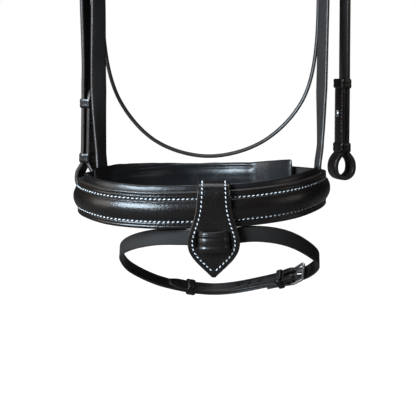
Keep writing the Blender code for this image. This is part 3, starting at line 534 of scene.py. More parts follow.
# Section of a strap: rounded edges, a creased line near each and a faintly crowned face.
# Kinds: 0 grain, 1 dressed edge, 2 flesh side
def strapSection(half, thick, crease, crown=strapLook["crown"], dip=strapLook["dip"]):
    up = thick / 2
    bend = min(up, 1.0)
    corner = []
    for angle in (-90, -65, -35, 0, 35, 65, 90):
        turn = math.radians(angle)
        flat = (up - bend) * (1 if angle > 0 else -1) * (angle != 0)
        corner.append((half - bend + bend * math.cos(turn), flat + bend * math.sin(turn)))
    face = [(half - crease + 0.5, 0.0), (half - crease + 0.2, -dip), (half - crease - 0.2, -dip),
            (half - crease - 0.6, 0.04), (half * 0.55, crown * 0.7), (half * 0.2, crown)]
    top = [(w, up + rise) for w, rise in face]
    points = [(w, h, 1) for w, h in corner[:-1]] + [(*corner[-1], 0)] + [(w, h, 0) for w, h in top]
    points += [(-w, h, 0) for w, h in reversed(top)] + [(-w, h, 1) for w, h in corner[:0:-1]]
    return points + [(-corner[0][0], corner[0][1], 2), (-half * 0.4, -up, 2), (half * 0.4, -up, 2)]


# Points along a strap's path of (s, h), smoothed, with the strap's own directions at each
def strapRun(place, path, step=strapLook["step"], pointed=False):
    def pieces(length):
        return max(2 if length < 4 else 3, math.ceil(length / step)) if length > 1.0 else 1

    run = easedRun([Vector(knot) for knot in path], pieces)
    if pointed:  # more rows over the last millimetres, where the tip narrows
        run[-1:] = [run[-2].lerp(run[-1], k / 4) for k in (1, 2, 3)] + [run[-1]]
    spots = [place(s, h, 0.0) for s, h in run]
    rows = []
    for (s, h), spot, tangent in zip(run, spots, waysAlong(spots)):
        side = place(s, h, 1.0) - spot
        side = (side - tangent * side.dot(tangent)).normalized()
        rows.append([spot, side, tangent.cross(side)])
    top = max(range(len(run)), key=lambda k: run[k].y)
    lift = place(run[top].x, run[top].y + 1.0, 0.0) - spots[top]
    if rows[top][2].dot(lift) < 0:
        for row in rows:
            row[2] = -row[2]
    return [(spot, side, out, d) for (spot, side, out), d in zip(rows, reachOf(spots))]


def tipShare(distance):
    share = min(1.0, max(0.0, distance) / strapLook["tipLength"])
    return min(1.0, strapLook["tipBlunt"] + (1.0 - strapLook["tipBlunt"]) * math.sqrt(share))


def strap(name, place, path, width, thick, body, stands, pointed=False, crease=strapLook["crease"]):
    run = strapRun(place, path, pointed=pointed)
    rows = []
    for spot, side, out, d in run:
        half = width / 2 * (tipShare(run[-1][3] - d) if pointed else 1.0)
        section = strapSection(half, thick, min(crease, half * 0.45))
        lean = noise.noise(spot * strapLook["wavesAt"]) * strapLook["waver"]
        rows.append([spot + side * (w + lean) + out * h for w, h, kind in section])
    return skinPiece(name, rows, strapFinishes, body, stands, kindsOf(section))


# What was made at the origin is stood on a strap: its x along the strap, its z out of it
def standOn(bm, verts, origin, run, out):
    turn = Matrix((run, out.cross(run), out)).transposed().to_4x4()
    bmesh.ops.transform(bm, matrix=turn, verts=verts)
    bmesh.ops.translate(bm, vec=origin, verts=verts)


# Stadium-shaped cutters, long along the strap, and the cut itself
def cutterAt(bm, place, s, h, radius, length=0.0, depth=12.0):
    made = bmesh.ops.create_cone(bm, cap_ends=True, segments=20, radius1=radius, radius2=radius,
                                 depth=depth)["verts"]
    for vertex in made:
        vertex.co.x += math.copysign(length / 2, vertex.co.x) if abs(vertex.co.x) > 1e-4 else 0.0
    origin = place(s, h, 0.0)
    run = (place(s + 1.0, h, 0.0) - origin).normalized()
    wide = (place(s, h, 1.0) - origin).normalized()
    standOn(bm, made, origin, run, run.cross(wide).normalized())


def carve(piece, cuts):
    bm = bmesh.new()
    for cut in cuts:
        cutterAt(bm, *cut)
    bmesh.ops.recalc_face_normals(bm, faces=bm.faces)
    bmesh.ops.scale(bm, vec=(mm, mm, mm), verts=bm.verts)
    for face in bm.faces:
        face.material_index = 1
    cutter = objectFrom("cutter", bm)
    change = piece.modifiers.new("carve", "BOOLEAN")
    change.operation = "DIFFERENCE"
    change.solver = "EXACT"
    change.object = cutter
    graph = bpy.context.evaluated_depsgraph_get()
    carved = bpy.data.meshes.new_from_object(piece.evaluated_get(graph))
    piece.modifiers.clear()
    piece.data = carved
    bpy.data.objects.remove(cutter)


# Sewing: small spindle-shaped stitches laid in line, each a little slanted
sewing = {"pitch": 3.75, "length": 2.45, "thick": 0.57, "slant": 16.0}


def sewLine(bm, spots, outs, pitch, scale):
    reach = reachOf(spots)
    count = max(1, int(reach[-1] / pitch))
    dice = random.Random(round(reach[-1] * 10))
    for number in range(count):
        middle = (number + 0.5) * reach[-1] / count
        index = max(0, min(len(spots) - 2, bisect.bisect_right(reach, middle) - 1))
        part = (middle - reach[index]) / max(reach[index + 1] - reach[index], 1e-6)
        spot = spots[index].lerp(spots[index + 1], part)
        out = outs[index].lerp(outs[index + 1], part).normalized()
        run = (spots[index + 1] - spots[index]).normalized()
        side = out.cross(run).normalized()
        run = side.cross(out)
        lean = math.radians(sewing["slant"] + dice.uniform(-3.0, 3.0))
        run, side = (run * math.cos(lean) + side * math.sin(lean),
                     side * math.cos(lean) - run * math.sin(lean))
        made = bmesh.ops.create_uvsphere(bm, u_segments=6, v_segments=5, radius=1.0)["verts"]
        length = sewing["length"] * scale * pitch / sewing["pitch"] / 2 * dice.uniform(0.95, 1.05)
        thick = sewing["thick"] * scale
        turn = Matrix((side * thick, out * thick * 0.8, run * length)).transposed().to_4x4()
        turn.translation = spot
        bmesh.ops.transform(bm, matrix=turn, verts=made)


def sewPiece(name, lines, body, look="paleThread", pitch=sewing["pitch"], scale=1.0):
    bm = bmesh.new()
    for spots, outs in lines:
        sewLine(bm, spots, outs, pitch, scale)
    makePiece(name, bm, (look,), body)


# A line to sew along a course, h above it and w across it, with the way out of the leather
def seam(course, stations, h, w, facing=1.0):
    spots = [course(s, h, w) for s in stations]
    return spots, [(course(s, facing * 2.0, w) - course(s, 0.0, w)).normalized() for s in stations]


# Steel rod along points that lie about in one plane, whose normal is the reference
def rod(bm, points, reference, radius, closed=False, around=10, taper=None):
    rows = []
    for index, (point, tangent) in enumerate(zip(points, waysAlong(points, closed))):
        side = (reference - tangent * reference.dot(tangent)).normalized()
        out = tangent.cross(side)
        size = radius * (taper(index / (len(points) - 1)) if taper else 1.0)
        rows.append([point + side * size * math.cos(2 * math.pi * k / around)
                     + out * size * math.sin(2 * math.pi * k / around) for k in range(around)])
    skin(bm, rows, closed=closed)


# Outline of (w, h) round a rectangle with rounded corners, with no gap wider than the step
def roundedLoop(low, high, half, radius, step, corner=6):
    points = []
    for across, up, start in ((half, high, 0), (-half, high, 90), (-half, low, 180), (half, low, 270)):
        centre = (across - math.copysign(radius, across),
                  up - math.copysign(radius, up - (low + high) / 2))
        for k in range(corner + 1):
            angle = math.radians(start + 90.0 * k / corner)
            points.append((centre[0] + radius * math.cos(angle), centre[1] + radius * math.sin(angle)))
    outline = []
    for first, second in zip(points, points[1:] + points[:1]):
        pieces = max(1, math.ceil(math.dist(first, second) / step))
        outline += [tuple(a + (b - a) * k / pieces for a, b in zip(first, second))
                    for k in range(pieces)]
    return outline


# Section of a narrow loop: rounded edges and two soft ridges along its outer side
def loopSection(half, thick):
    points = []
    for across, up in circlePoints(26):
        a = half * softPower(across, 0.6)
        rise = 0.22 * hump(abs(a) / half - 0.55, 0.2) * (up > 0)
        points.append((a, thick / 2 * softPower(up, 0.7) + rise, 0 if up > -0.5 else 2))
    return points


# A leather loop round a strap: a strip swept round a rounded rectangle of (w, h)
def loopOf(name, place, middle, length, low, high, width, body, stands, thick=sizes["keeper"]):
    grow = gap + thick / 2
    outline = roundedLoop(low - grow, high + grow, width / 2 + grow, sizes["loopCorner"], 2.0)
    section = loopSection(length / 2, thick)
    rows = []
    for index, (w, h) in enumerate(outline):
        before, after = outline[index - 1], outline[(index + 1) % len(outline)]
        run = Vector((after[0] - before[0], after[1] - before[1])).normalized()
        rows.append([place(middle + a, h - run.x * n, w + run.y * n) for a, n, kind in section])
    skinPiece(name, rows, strapFinishes, body, stands, kindsOf(section), closed=True)


# Heights of a strap's layers: flat on each other, over the lower two, and under the frame's front
def flatLayer(thick):
    return (thick + gap) / 2


def overStrap(thick, billet):
    return flatLayer(thick) + thick / 2 + gap + billet / 2


def underFront(billet):
    return sizes["frameLift"] - sizes["wire"] - gap - billet / 2


# Paths of (s, h) from a buckle's bar: the end folded round it, and the billet over it
def foldedEnd(thick, back):
    near, flat = sizes["wire"] + gap + thick / 2, flatLayer(thick)
    path = [(back, -flat), (13.0, -flat), (6.0, -(near + flat) / 2)] + arc(near, range(-90, -271, -30))
    return path + [(6.0, (near + flat) / 2), (13.0, flat)]


def billetOver(thick, billet):
    lift = sizes["wire"] + 2 * gap + thick + billet / 2 + 0.25
    low = underFront(billet)
    start = -sizes["frameLength"] - sizes["bendRoom"]
    path = [(start, low), (-sizes["frameLength"] + 1.2, low), (-lift - 1.6, lift * 0.33)]
    return path + arc(lift, (140, 115, 90)) + [(6.5, lift - 0.45), (14.0, overStrap(thick, billet))]


# One buckle: its steel frame and its tongue
def buckle(prefix, place, width, body):
    half = width / 2 + 0.9 + sizes["wire"]
    long, lift, wire = sizes["frameLength"], sizes["frameLift"], sizes["wire"]
    outline = roundedLoop(-long, 0.0, half, 2.4, 2.5, 8)
    points = [place(s, lift * min(1.0, -s / long * 1.3), w) for w, s in outline]
    out = (place(0.0, 1.0, 0.0) - place(0.0, 0.0, 0.0)).normalized()
    bm = bmesh.new()
    rod(bm, points, out, wire, closed=True, around=14)
    makePiece(f"{prefix}_frame", bm, ("steel",), body, (f"{prefix}_buckle",))
    eye = wire + 0.25 + sizes["prong"]
    rest = lift + eye
    path = arc(eye, range(-150, 73, 12))
    path += [(-1.2, eye + 0.15), (-3.4, eye + 0.34), (-6.0, eye + 0.5), (-9.5, rest - 0.1),
             (-long, rest), (-long - 1.2, rest), (-long - 2.2, rest + 0.1)]
    bm = bmesh.new()
    side = (place(0.0, 0.0, 1.0) - place(0.0, 0.0, 0.0)).normalized()
    rod(bm, [place(s, h, 0.0) for s, h in path], side, sizes["prong"],
        taper=lambda share: 1.0 - 0.35 * max(0.0, share - 0.9) / 0.1)
    makePiece(f"{prefix}_prong", bm, ("steel",), f"{prefix}_tongue", (f"{prefix}_tongue",))


# Cuts are the place with s, h, radius, length and depth. The first two leave room for the tongue
def tongueCut(place):
    return place, -1.0, 0.0, sizes["prong"] + 0.5, 11.5, 14.0


def billetCut(place):
    return place, -6.2, 3.0, sizes["prong"] + 0.5, 7.6, 14.0


# What holds a strap's point: the buckle, a fixed loop and a loose one
def closure(prefix, place, width, thick, billet, body, look, ease=(0.0, 0.0)):
    buckle(prefix, place, width, body)
    layer, slack = flatLayer(thick), sizes["runnerSlack"]
    top = overStrap(thick, billet) + billet / 2
    loopOf(f"{prefix}_fixed_loop", place, look["keeperAt"], look["keeper"], -layer - thick / 2 - ease[0],
           top + ease[1], width, body, (f"{prefix}_keeper",))
    loopOf(f"{prefix}_sliding_loop", place, look["runnerAt"], look["runner"], layer - thick / 2 - slack,
           top + slack, width, f"{prefix}_runner", (f"{prefix}_runner",))


# One of the headpiece's points, punched, with the buckle and loops that hold it
def buckledPoint(kind, name, place, width, thick, body, look):
    billet = sizes["billet"]
    over = overStrap(thick, billet)
    point = strap(f"{kind}_point_{name}", place, billetOver(thick, billet) + [(look["billetEnd"], over)],
                  width - look["narrower"], billet, body, (f"{kind}_billet_{name}",), pointed=True,
                  crease=look["crease"])
    carve(point, [billetCut(place)] + [(place, s, over, look["holeRadius"]) for s in look["holes"]])
    closure(f"{kind}_{name}", place, width, thick, billet, body, look)


# Crown: one headpiece that splits into the cheek and throat straps, over its padded underside
crownLook = {"step": 3.75, "splitRows": 14, "sewnReach": 92.0, "sewnIn": 2.6, "edge": 0.75,
             "padReach": 66.0, "padWide": 24.0, "padSeam": 19.0}


def crownWays(lengths):
    ways = []
    step, rows = crownLook["step"], crownLook["splitRows"]
    reach = places["crownReach"]
    for side in (-1.0, 1.0):
        half = [(side, 0.0, step * k) for k in range(int(reach / step) + 1)]
        half += [(side, k / rows, reach + (lengths[side] - reach) * k / rows) for k in range(1, rows + 1)]
        ways = half[:0:-1] if side < 0 else ways + half
    return ways


def headpiece():
    seamAt = places["buckleHeight"] + sizes["frameLength"] + sizes["bendRoom"] + 0.9
    cheekEnd = {side: heightOn(cheeks, side, seamAt) for side in sides.values()}
    throatEnd = {side: heightOn(throat, side, seamAt) for side in sides.values()}
    reach = places["crownReach"]
    cheekCells = acrossCells(sizes["cheekWidth"] / 2)
    throatCells = acrossCells(sizes["throatWidth"] / 2)
    ways = crownWays(cheekEnd)
    rows = []
    for side, share, front in ways:
        rear = front if front <= reach else reach + (throatEnd[side] - reach) * share
        sink = underFront(sizes["billet"]) * smooth(share)
        row = [cheeks(side * front, sink + rise, w) for w, rise in cheekCells]
        row += [throat(side * rear, sink + rise, w) for w, rise in throatCells]
        rows.append(row)
    middle = len(cheekCells) - 1
    whole = [row for row, way in enumerate(ways) if way[2] < reach - 0.1]
    whole = range(whole[0] - 1, whole[-1] + 1)
    bm = bmesh.new()
    skin(bm, rows, wrap=False, keep=lambda row, column: column != middle or row in whole)
    piece = makePiece("headpiece_leather", bm, strapFinishes, "crown", ("headpiece_strap",))
    thicken(piece, sizes["billet"], crownLook["edge"])
    stations = stepped(-crownLook["sewnReach"], crownLook["sewnReach"], 3.0)
    above, inside = sizes["billet"] / 2 + 0.08, crownLook["sewnIn"]
    lines = [seam(cheeks, stations, above, cheekCells[0][0] + inside),
             seam(throat, stations, above, throatCells[-1][0] - inside)]
    sewPiece("headpiece_stitches", lines, "crown", "blackThread")


# Across a flat strap: (w, rise) with the two creased lines
def acrossCells(half):
    right = [(half * 0.35, 0.10), (half * 0.7, 0.06), (half - 2.3, 0.02), (half - 1.9, -0.14),
             (half - 1.5, -0.14), (half - 1.1, 0.02), (half - 0.5, 0.0), (half, -0.05)]
    return [(-w, rise) for w, rise in reversed(right)] + [(0.0, 0.12)] + right


def thicken(piece, thick, edge):
    solid = piece.modifiers.new("thickness", "SOLIDIFY")
    solid.thickness = thick * mm
    solid.offset = 0.0
    solid.material_offset = 2
    solid.material_offset_rim = 1
    bevel = piece.modifiers.new("edges", "BEVEL")
    bevel.width = edge * mm
    bevel.segments = 3
    bevel.limit_method = "ANGLE"
    bevel.angle_limit = math.radians(50)


pucker = {"deep": 0.7, "wide": 1.1, "swing": 0.25, "pitch": 3.9}


# A stuffed leather tube: rows of a soft section with its ends drawn in. Seams are (w, way it faces),
# with puckers beside them
def cushion(name, place, stations, section, body, stands, columns, finish="softLeather",
            roundEnd=8.0, seams=()):
    rows = []
    for s in stations:
        near = min(abs(s - stations[0]), abs(s - stations[-1])) / roundEnd
        full = 0.35 + 0.65 * math.sqrt(1.0 - (1.0 - min(1.0, near)) ** 2)
        row = []
        for across, up in circlePoints(columns):
            w, h = section(s, across, up, full)
            for seamAt, facing in seams:
                if (h > 0) == (facing > 0):
                    wave = pucker["swing"] * math.cos(2 * math.pi * s / pucker["pitch"])
                    h -= facing * hump(w - seamAt, pucker["wide"]) * (pucker["deep"] + wave)
            spot = place(s, h, w)
            row.append(spot + (noise.noise_vector(spot * 0.09) * 0.25))
        rows.append(row)
    skinPiece(name, rows, (finish,), body, stands)


def headPad():
    knots = crownLayer(padDrop, 7)
    line = Course(knots, [(0.0, 1.0, 0.0)] * len(knots), zero=7)
    reach, wide, thick = crownLook["padReach"], crownLook["padWide"], sizes["padThick"]
    seamAt = crownLook["padSeam"]

    def section(s, across, up, full):
        w = wide * full * softPower(across, 0.6)
        h = thick * full * softPower(up, 0.75)
        if h < 0:
            h = max(h * 1.25, -thick)
        return w, h * (1.0 - 0.15 * hump(abs(w) - wide * full + 1.6, 1.0))

    cushion("headpiece_padding", line, stepped(-reach, reach, 2.2), section, "crown",
            ("headpiece_pad",), 56, roundEnd=10.0, seams=((-seamAt, 1), (seamAt, 1)))
    stations = stepped(-reach + 7.0, reach - 7.0, 2.0)
    lines = [seam(line, stations, thick * 0.82, w) for w in (-seamAt, seamAt)]
    sewPiece("headpiece_pad_stitches", lines, "crown", "blackThread")


headpiece()
headPad()
print("crown made")


# Cheekpieces: folded round the buckle's bar, turned up at the bottom into the bit loop
cheekLook = {"bulge": {"left": 8.0, "right": 8.6}, "spread": {"left": 2.6, "right": 1.95},
             "upperLoop": {"left": 76.0, "right": 84.0}, "lowerLoop": 28.5, "lowThick": 1.0,
             "billetEnd": 58.0, "narrower": 0.6, "crease": 1.7, "holes": (26.0, 34.0), "holeRadius": 1.7,
             "keeperAt": 19.0, "keeper": 7.0, "runnerAt": 44.0, "runner": 8.0, "studAt": 58.0,
             "sewnIn": 2.6, "sewn": (3.4, 0.9), "bitSewn": (2.9, 0.95)}


def cheekpiece(name):
    side, body = sides[name], f"cheek_{name}"
    place = along(cheeks, side, heightOn(cheeks, side, places["buckleHeight"]))
    length = places["buckleHeight"] - places["cheekBottom"][name]
    thick, wide = sizes["cheek"], sizes["cheekWidth"]
    layer, bulge, apart = flatLayer(thick), cheekLook["bulge"][name], cheekLook["spread"][name]
    turn = length - thick / 2 - bulge
    waist = [(24.6, bulge - apart), (20.5, 3.2), (16.8, 0.9), (13.5, 0.1)]
    path = foldedEnd(thick, 30.0)
    path += [(length - 110.0, layer), (length - 90.0, apart), (length - 30.0, apart)]
    path += [(length - up, bulge - less) for up, less in waist]
    path += [(turn + s, h) for s, h in arc(bulge, [90 - 180 / 7 * step for step in range(8)])]
    path += [(length - up, less - bulge) for up, less in reversed(waist)]
    path += [(length - 30.0, -apart), (length - 88.0, -apart)]
    studAt = length - cheekLook["studAt"]
    piece = strap(f"cheek_leather_{name}", place, path, wide, thick, body, (f"cheekpiece_{name}",),
                  pointed=True)
    carve(piece, [tongueCut(place), (place, studAt, -apart, 2.2, 1.5, thick + 0.2)])
    buckledPoint("cheek", name, place, wide, thick, body, cheekLook)
    both = apart + thick / 2
    for loop, keeper, up in (("low", "lower", cheekLook["lowerLoop"]),
                             ("high", "upper", cheekLook["upperLoop"][name])):
        loopOf(f"cheek_{name}_{loop}_loop", place, length - up, 8.0, -both, both, wide, body,
               (f"cheek_{name}_{keeper}_keeper",), cheekLook["lowThick"])
    hookStud(f"cheek_{name}", place, studAt, apart, body)
    middle, low, high = (place(s, 0.0, 0.0) for s in (length - 60.0, length - 24.0, 16.0))
    front = [row for row in strapRun(place, path, pointed=True)
             if (row[0] - middle).dot(row[2]) > 0 and low.z < row[0].z < high.z]
    lines = []
    for w in (cheekLook["sewnIn"] - wide / 2, wide / 2 - cheekLook["sewnIn"]):
        lines.append(([spot + across * w + out * (thick / 2 + 0.06) for spot, across, out, d in front],
                      [row[2] for row in front]))
    sewPiece(f"cheek_{name}_stitches", lines, body, "blackThread", *cheekLook["sewn"])
    if name == "right":
        spots = [place(s, -both - 0.06, -6.0) for s in stepped(length - 78.0, length - 42.0, 2.0)]
        outs = [(place(length - 60.0, -1.0, 0.0) - middle).normalized()] * len(spots)
        # These stitches wear the thread with painted shade in its colour
        sewPiece(f"cheek_{name}_bit_stitches", [(spots, outs)], body, "shadedThread", *cheekLook["bitSewn"])


# The hook inside the turned-up strap: a neck with a domed head
def hookStud(prefix, place, s, layer, body):
    inner = layer - sizes["cheek"] / 2 - gap
    head = -layer - sizes["cheek"] / 2 - gap
    dome = [(3.0, 0.1), (3.25, 0.4), (3.25, 0.9), (2.9, 1.5), (2.1, 1.95), (1.0, 2.15), (0.0, 2.2)]
    profile = [(0.0, inner), (1.5, inner), (1.5, head)] + [(radius, head - drop) for radius, drop in dome]
    bm = bmesh.new()
    points = [bm.verts.new((radius, 0.0, h)) for radius, h in profile]
    for first, second in zip(points, points[1:]):
        bm.edges.new((first, second))
    bmesh.ops.spin(bm, geom=bm.verts[:] + bm.edges[:], cent=(0, 0, 0), axis=(0, 0, 1),
                   angle=2 * math.pi, steps=24, use_merge=True)
    bmesh.ops.remove_doubles(bm, verts=bm.verts, dist=0.001)
    origin = place(s, 0.0, 0.0)
    standOn(bm, bm.verts, origin, (place(s + 1.0, 0.0, 0.0) - origin).normalized(),
            (place(s, 1.0, 0.0) - origin).normalized())
    makePiece(f"{prefix}_stud", bm, ("steel",), body, (f"{prefix}_hook_stud",))


for cheekName in sides:
    cheekpiece(cheekName)
print("cheekpieces made")


# Throatlash: one strap folded round both bars, with the two points of the headpiece over it
throatLook = {"billetEnd": 56.0, "narrower": 0.4, "crease": 1.4, "holes": (26.0, 34.0),
              "holeRadius": 1.6, "keeperAt": 19.0, "keeper": 6.0, "runnerAt": 43.0, "runner": 7.0}


def throatlash():
    ends = {name: heightOn(throat, side, places["buckleHeight"]) for name, side in sides.items()}
    reach = throat.total - ends["left"] - ends["right"]
    place = along(throat, 1.0, ends["right"])
    thick, wide = sizes["throat"], sizes["throatWidth"]
    fold = foldedEnd(thick, 30.0)
    path = fold + [(reach * k / 10, flatLayer(thick)) for k in range(1, 10)]
    path += [(reach - s, h) for s, h in reversed(fold)]
    piece = strap("throatlash_leather", place, path, wide, thick, "throatlash", ("throatlash_strap",),
                  crease=throatLook["crease"])
    bars = {name: along(throat, side, ends[name]) for name, side in sides.items()}
    for name, local in bars.items():
        buckledPoint("throat", name, local, wide, thick, "throatlash", throatLook)
    carve(piece, [tongueCut(local) for local in bars.values()])


throatlash()
print("throatlash made")


# Sliphead: over the poll under the headpiece, buckled to its hanger on the left
slipLook = {"buckleDrop": 38.0, "tipAt": 40.0, "hole": 26.0, "holeRadius": 1.7, "keeperAt": 18.0,
            "keeper": 6.0, "runnerAt": 34.0, "runner": 6.0}


def sliphead():
    bar = heightOn(slip, -1.0, places["buckleHeight"] - slipLook["buckleDrop"])
    place = along(slip, -1.0, bar)
    thick, wide = sizes["slip"], sizes["slipWidth"]
    length = slip.zero - 0.2 - bar
    path = foldedEnd(thick, 28.0) + [(length - 40.0, 0.6), (length - 20.0, 0.3), (length, 0.0)]
    piece = strap("noseband_hanger_leather", place, path, wide, thick, "crown", ("noseband_hanger",))
    carve(piece, [tongueCut(place)])
    over = overStrap(thick, thick)
    rightEnd = slip.total - slip.zero - 0.2
    start = -bar - rightEnd
    path = [(start, 0.0), (start + 30.0, 0.0)]
    path += [(start + 30.0 + (rightEnd - 30.0) * k / 6, 0.0) for k in range(1, 6)]
    path += [(-bar, 0.0), (-bar / 2 - 30.0, 0.0), (-60.0, 0.0), (-35.0, underFront(thick))]
    path += billetOver(thick, thick) + [(slipLook["tipAt"], over)]
    point = strap("sliphead_leather", place, path, wide, thick, "crown", ("sliphead_strap",),
                  pointed=True)
    carve(point, [billetCut(place), (place, slipLook["hole"], over, slipLook["holeRadius"])])
    closure("sliphead", place, wide, thick, thick, "crown", slipLook)


sliphead()
print("sliphead made")


# Noseband: a raised front sewn down along two rows, its backing, and a rolled lining that stands
# above the front's top edge
bandLook = {"step": 1.3, "cells": 66, "stitchAt": 9.1, "swellHalf": 8.8, "rollUp": 4.6, "rollDown": 0.2,
            "margin": 0.35, "rampLength": 90.0, "rimDeep": 1.2, "rimIn": 0.9, "back": -2.4}


def bandHalf(s):
    share = min(1.0, max(0.0, (abs(s) - 70.0) / 110.0))
    return sizes["bandHalf"] + (sizes["bandSideHalf"] - sizes["bandHalf"]) * share


def bandEnds():
    left = ring.nearest(places["ringX"] - 73.0, places["ringY"] + 48.0)
    right = ring.nearest(places["ringX"] + 76.0, places["ringY"] + 44.0)
    return left, right


def swellAt(w, half):
    share = abs(w) / (bandLook["swellHalf"] * half / sizes["bandHalf"])
    return (1.0 - share ** 2.15) ** 0.78 if share < 1.0 else 0.0


# Height of the front's face: the swell, its groove and welts beside the stitches, the margins
def bandFace(s, w, half, lift):
    stitch = bandLook["stitchAt"] * half / sizes["bandHalf"]
    across = abs(w) - stitch
    groove = -0.55 * hump(across, 0.7)
    welts = 0.08 * hump(across - 1.5, 0.5) + 0.28 * hump(across + 1.5, 0.5)
    pull = 0.26 * math.cos(2 * math.pi * s / sewing["pitch"]) * math.exp(-(across / 1.6) ** 2)
    margin = 0.0
    if across > 0:
        margin = bandLook["margin"] * math.sin(math.pi * min(1.0, across / (half - stitch)))
        margin *= 1.0 if w < 0 else 0.3
        margin -= (0.40 if w < 0 else 0.15) * hump(abs(w) - half + 2.8, 0.45)
    return lift * swellAt(w, half) + groove + welts + pull + margin


def nosebandFront():
    left, right = bandEnds()
    cells, rimIn, rimDeep, back = (bandLook[key] for key in ("cells", "rimIn", "rimDeep", "back"))
    turns = [math.radians(angle) for angle in (-90, -45, 0, 45)]
    rim = [(rimIn * math.cos(turn), -rimDeep + rimDeep * math.sin(turn)) for turn in turns]
    rows = []
    for s in evenly(left, right, bandLook["step"]):
        half = bandHalf(s)
        ends = min(1.0, min(s - left, right - s) / bandLook["rampLength"])
        lift = sizes["swell"] * math.sin(ends * math.pi / 2)
        face = [(half - rimIn) * (1.0 - 2.0 * cell / cells) for cell in range(cells + 1)]
        row = [ring(s, h, half - rimIn + w) for w, h in rim]
        row += [ring(s, bandFace(s, w, half, lift), w) for w in face]
        row += [ring(s, h, -half + rimIn - w) for w, h in reversed(rim)]
        rows.append(row + [ring(s, back, -half * 0.3), ring(s, back, half * 0.3)])
    kinds = [1] * 4 + [0] * (cells + 1) + [1] * 3 + [2] * 3
    skinPiece("noseband_front", rows, strapFinishes, "noseband",
              ("noseband_leather", "noseband_swell_core"), kinds)
    lines = []
    for sign in (1.0, -1.0):
        spots, outs = [], []
        for s in stepped(left + 3.0, right - 3.0, 1.95):
            w = sign * bandLook["stitchAt"] * bandHalf(s) / sizes["bandHalf"]
            spots.append(ring(s, 0.05, w))
            outs.append((ring(s, 2.0, w) - ring(s, 0.0, w)).normalized())
        lines.append((spots, outs))
    sewPiece("noseband_stitches", lines, "noseband")


def nosebandBacking():
    left, right = bandEnds()
    thick = sizes["backing"]
    middle = sizes["band"] + gap + thick / 2
    rows = []
    for s in evenly(left - 4.0, right + 4.0, 3.0):
        section = strapSection(bandHalf(s), thick, 1.2, 0.0)
        rows.append([ring(s, h - middle, w) for w, h, kind in section])
    skinPiece("noseband_middle_leather", rows, strapFinishes, "noseband", ("noseband_backing",),
              kindsOf(section))


def nosebandLining():
    middle = sizes["band"] + gap + sizes["backing"] + gap + sizes["lining"] / 2

    def section(s, across, up, full):
        half = bandHalf(s)
        top, low = half + bandLook["rollUp"], -half - bandLook["rollDown"]
        w = (top + low) / 2 + (top - low) / 2 * softPower(across, 0.62)
        roll = 0.35 * hump(w - half - 1.5, 3.2)
        return w, (sizes["lining"] / 2 + roll) * softPower(up, 0.72) * full - middle

    stations = evenly(hang("left") + 12.0, hang("right") - 12.0, 2.2)
    cushion("noseband_padding", ring, stations, section, "noseband", ("noseband_lining",), 48,
            roundEnd=9.0)


rearLook = {"chinHalf": 16.4, "chinThick": 3.0, "flapLength": 46.0, "flapReach": 24.0, "tuckLength": 34.0,
            "lobes": ((14.9, 2.0), (6.8, 5.6), (-2.0, 3.4), (-10.8, 4.4)), "tipAt": 52.0,
            "holes": (-30.0, 26.0), "holeRadius": 1.8, "keeperAt": 19.0, "keeper": 7.0,
            "runnerAt": 38.0, "runner": 7.0}


# Rolls sewn along the chin pad: 1 on a roll's crown, falling to 0 in the channel between two
def lobesAt(w):
    return max(max(0.0, 1.0 - ((w - at) / half) ** 2) ** 0.5 for at, half in rearLook["lobes"])


def nosebandRear():
    left, right = bandEnds()
    bar = ring.nearest(places["ringX"] - 14.0, places["ringY"] + 79.0)
    thick, wide = sizes["rear"], sizes["rearWidth"]
    layer, over = flatLayer(thick), overStrap(thick, thick)
    sink = layer + thick / 2 - 0.5
    place = lambda s, h, w: ring(bar + s, h - sink, w)
    piece = strap("noseband_rear_leather", place, foldedEnd(thick, 26.0) + [(left - bar - 0.6, layer)],
                  wide, thick, "noseband", ("noseband_rear_strap",))
    carve(piece, [tongueCut(place)])
    start = right - bar - ring.total + 0.6
    path = [(start, layer), (start / 2 - 20.0, layer), (-40.0, layer), (-28.0, underFront(thick))]
    path += billetOver(thick, thick) + [(rearLook["tipAt"], over)]
    point = strap("noseband_point", place, path, wide - 0.8, thick, "noseband",
                  ("noseband_rear_billet",), pointed=True)
    heights = (layer - 1.5, over)
    carve(point, [billetCut(place)]
          + [(place, s, h, rearLook["holeRadius"]) for s, h in zip(rearLook["holes"], heights)])
    closure("noseband", place, wide, thick, thick, "noseband", rearLook)
    chinPad(sink, layer, thick)


def chinPad(sink, layer, thick):
    start = ring.nearest(places["ringX"] + 72.0, places["ringY"] + 50.0) - rearLook["flapReach"]
    tuck = ring.total + hang("left") - 12.0
    end, flap = tuck + rearLook["tuckLength"], rearLook["flapLength"]
    inside = sink + layer + thick / 2 + 2 * gap + sizes["keeper"] + 3.0
    wide, deep = rearLook["chinHalf"], rearLook["chinThick"]

    def section(s, across, up, full):
        body = smooth(min(1.0, max(0.0, (s - start - flap) / 7.0)))
        tucked = smooth(min(1.0, max(0.0, (s - tuck + 6.0) / 12.0)))
        leftRise = min(1.0, max(0.0, (s - tuck + 100.0) / 90.0))
        rise = max(0.0, 1.0 - (s - start) / (flap + 8.0))
        corner = 5.6 * ((1.0 - full) / 0.65) ** 2
        w = wide * softPower(across, 0.62)
        w += (5.0 * leftRise + 4.2 * rise - corner) * max(0.0, w / wide)
        bulge = softPower(up) * (0.62 + 0.38 * body)
        if bulge < 0:
            crumple = noise.noise(Vector((s * 0.30, w * 0.12, 3.0)))
            bulge *= 0.40 + 0.72 * (1.0 - body + body * lobesAt(w))
            bulge += 0.20 * body * hump(w - 1.5, 3.0) * crumple
        return w, (deep + (1.3 - deep) * tucked) * full * bulge - inside - 1.0 * tucked

    cushion("chin_padding", ring, evenly(start, end, 1.6), section, "noseband", ("chin_pad",), 56,
            "liningLeather", roundEnd=6.0)


nosebandFront()
nosebandBacking()
nosebandLining()
nosebandRear()
print("noseband made")


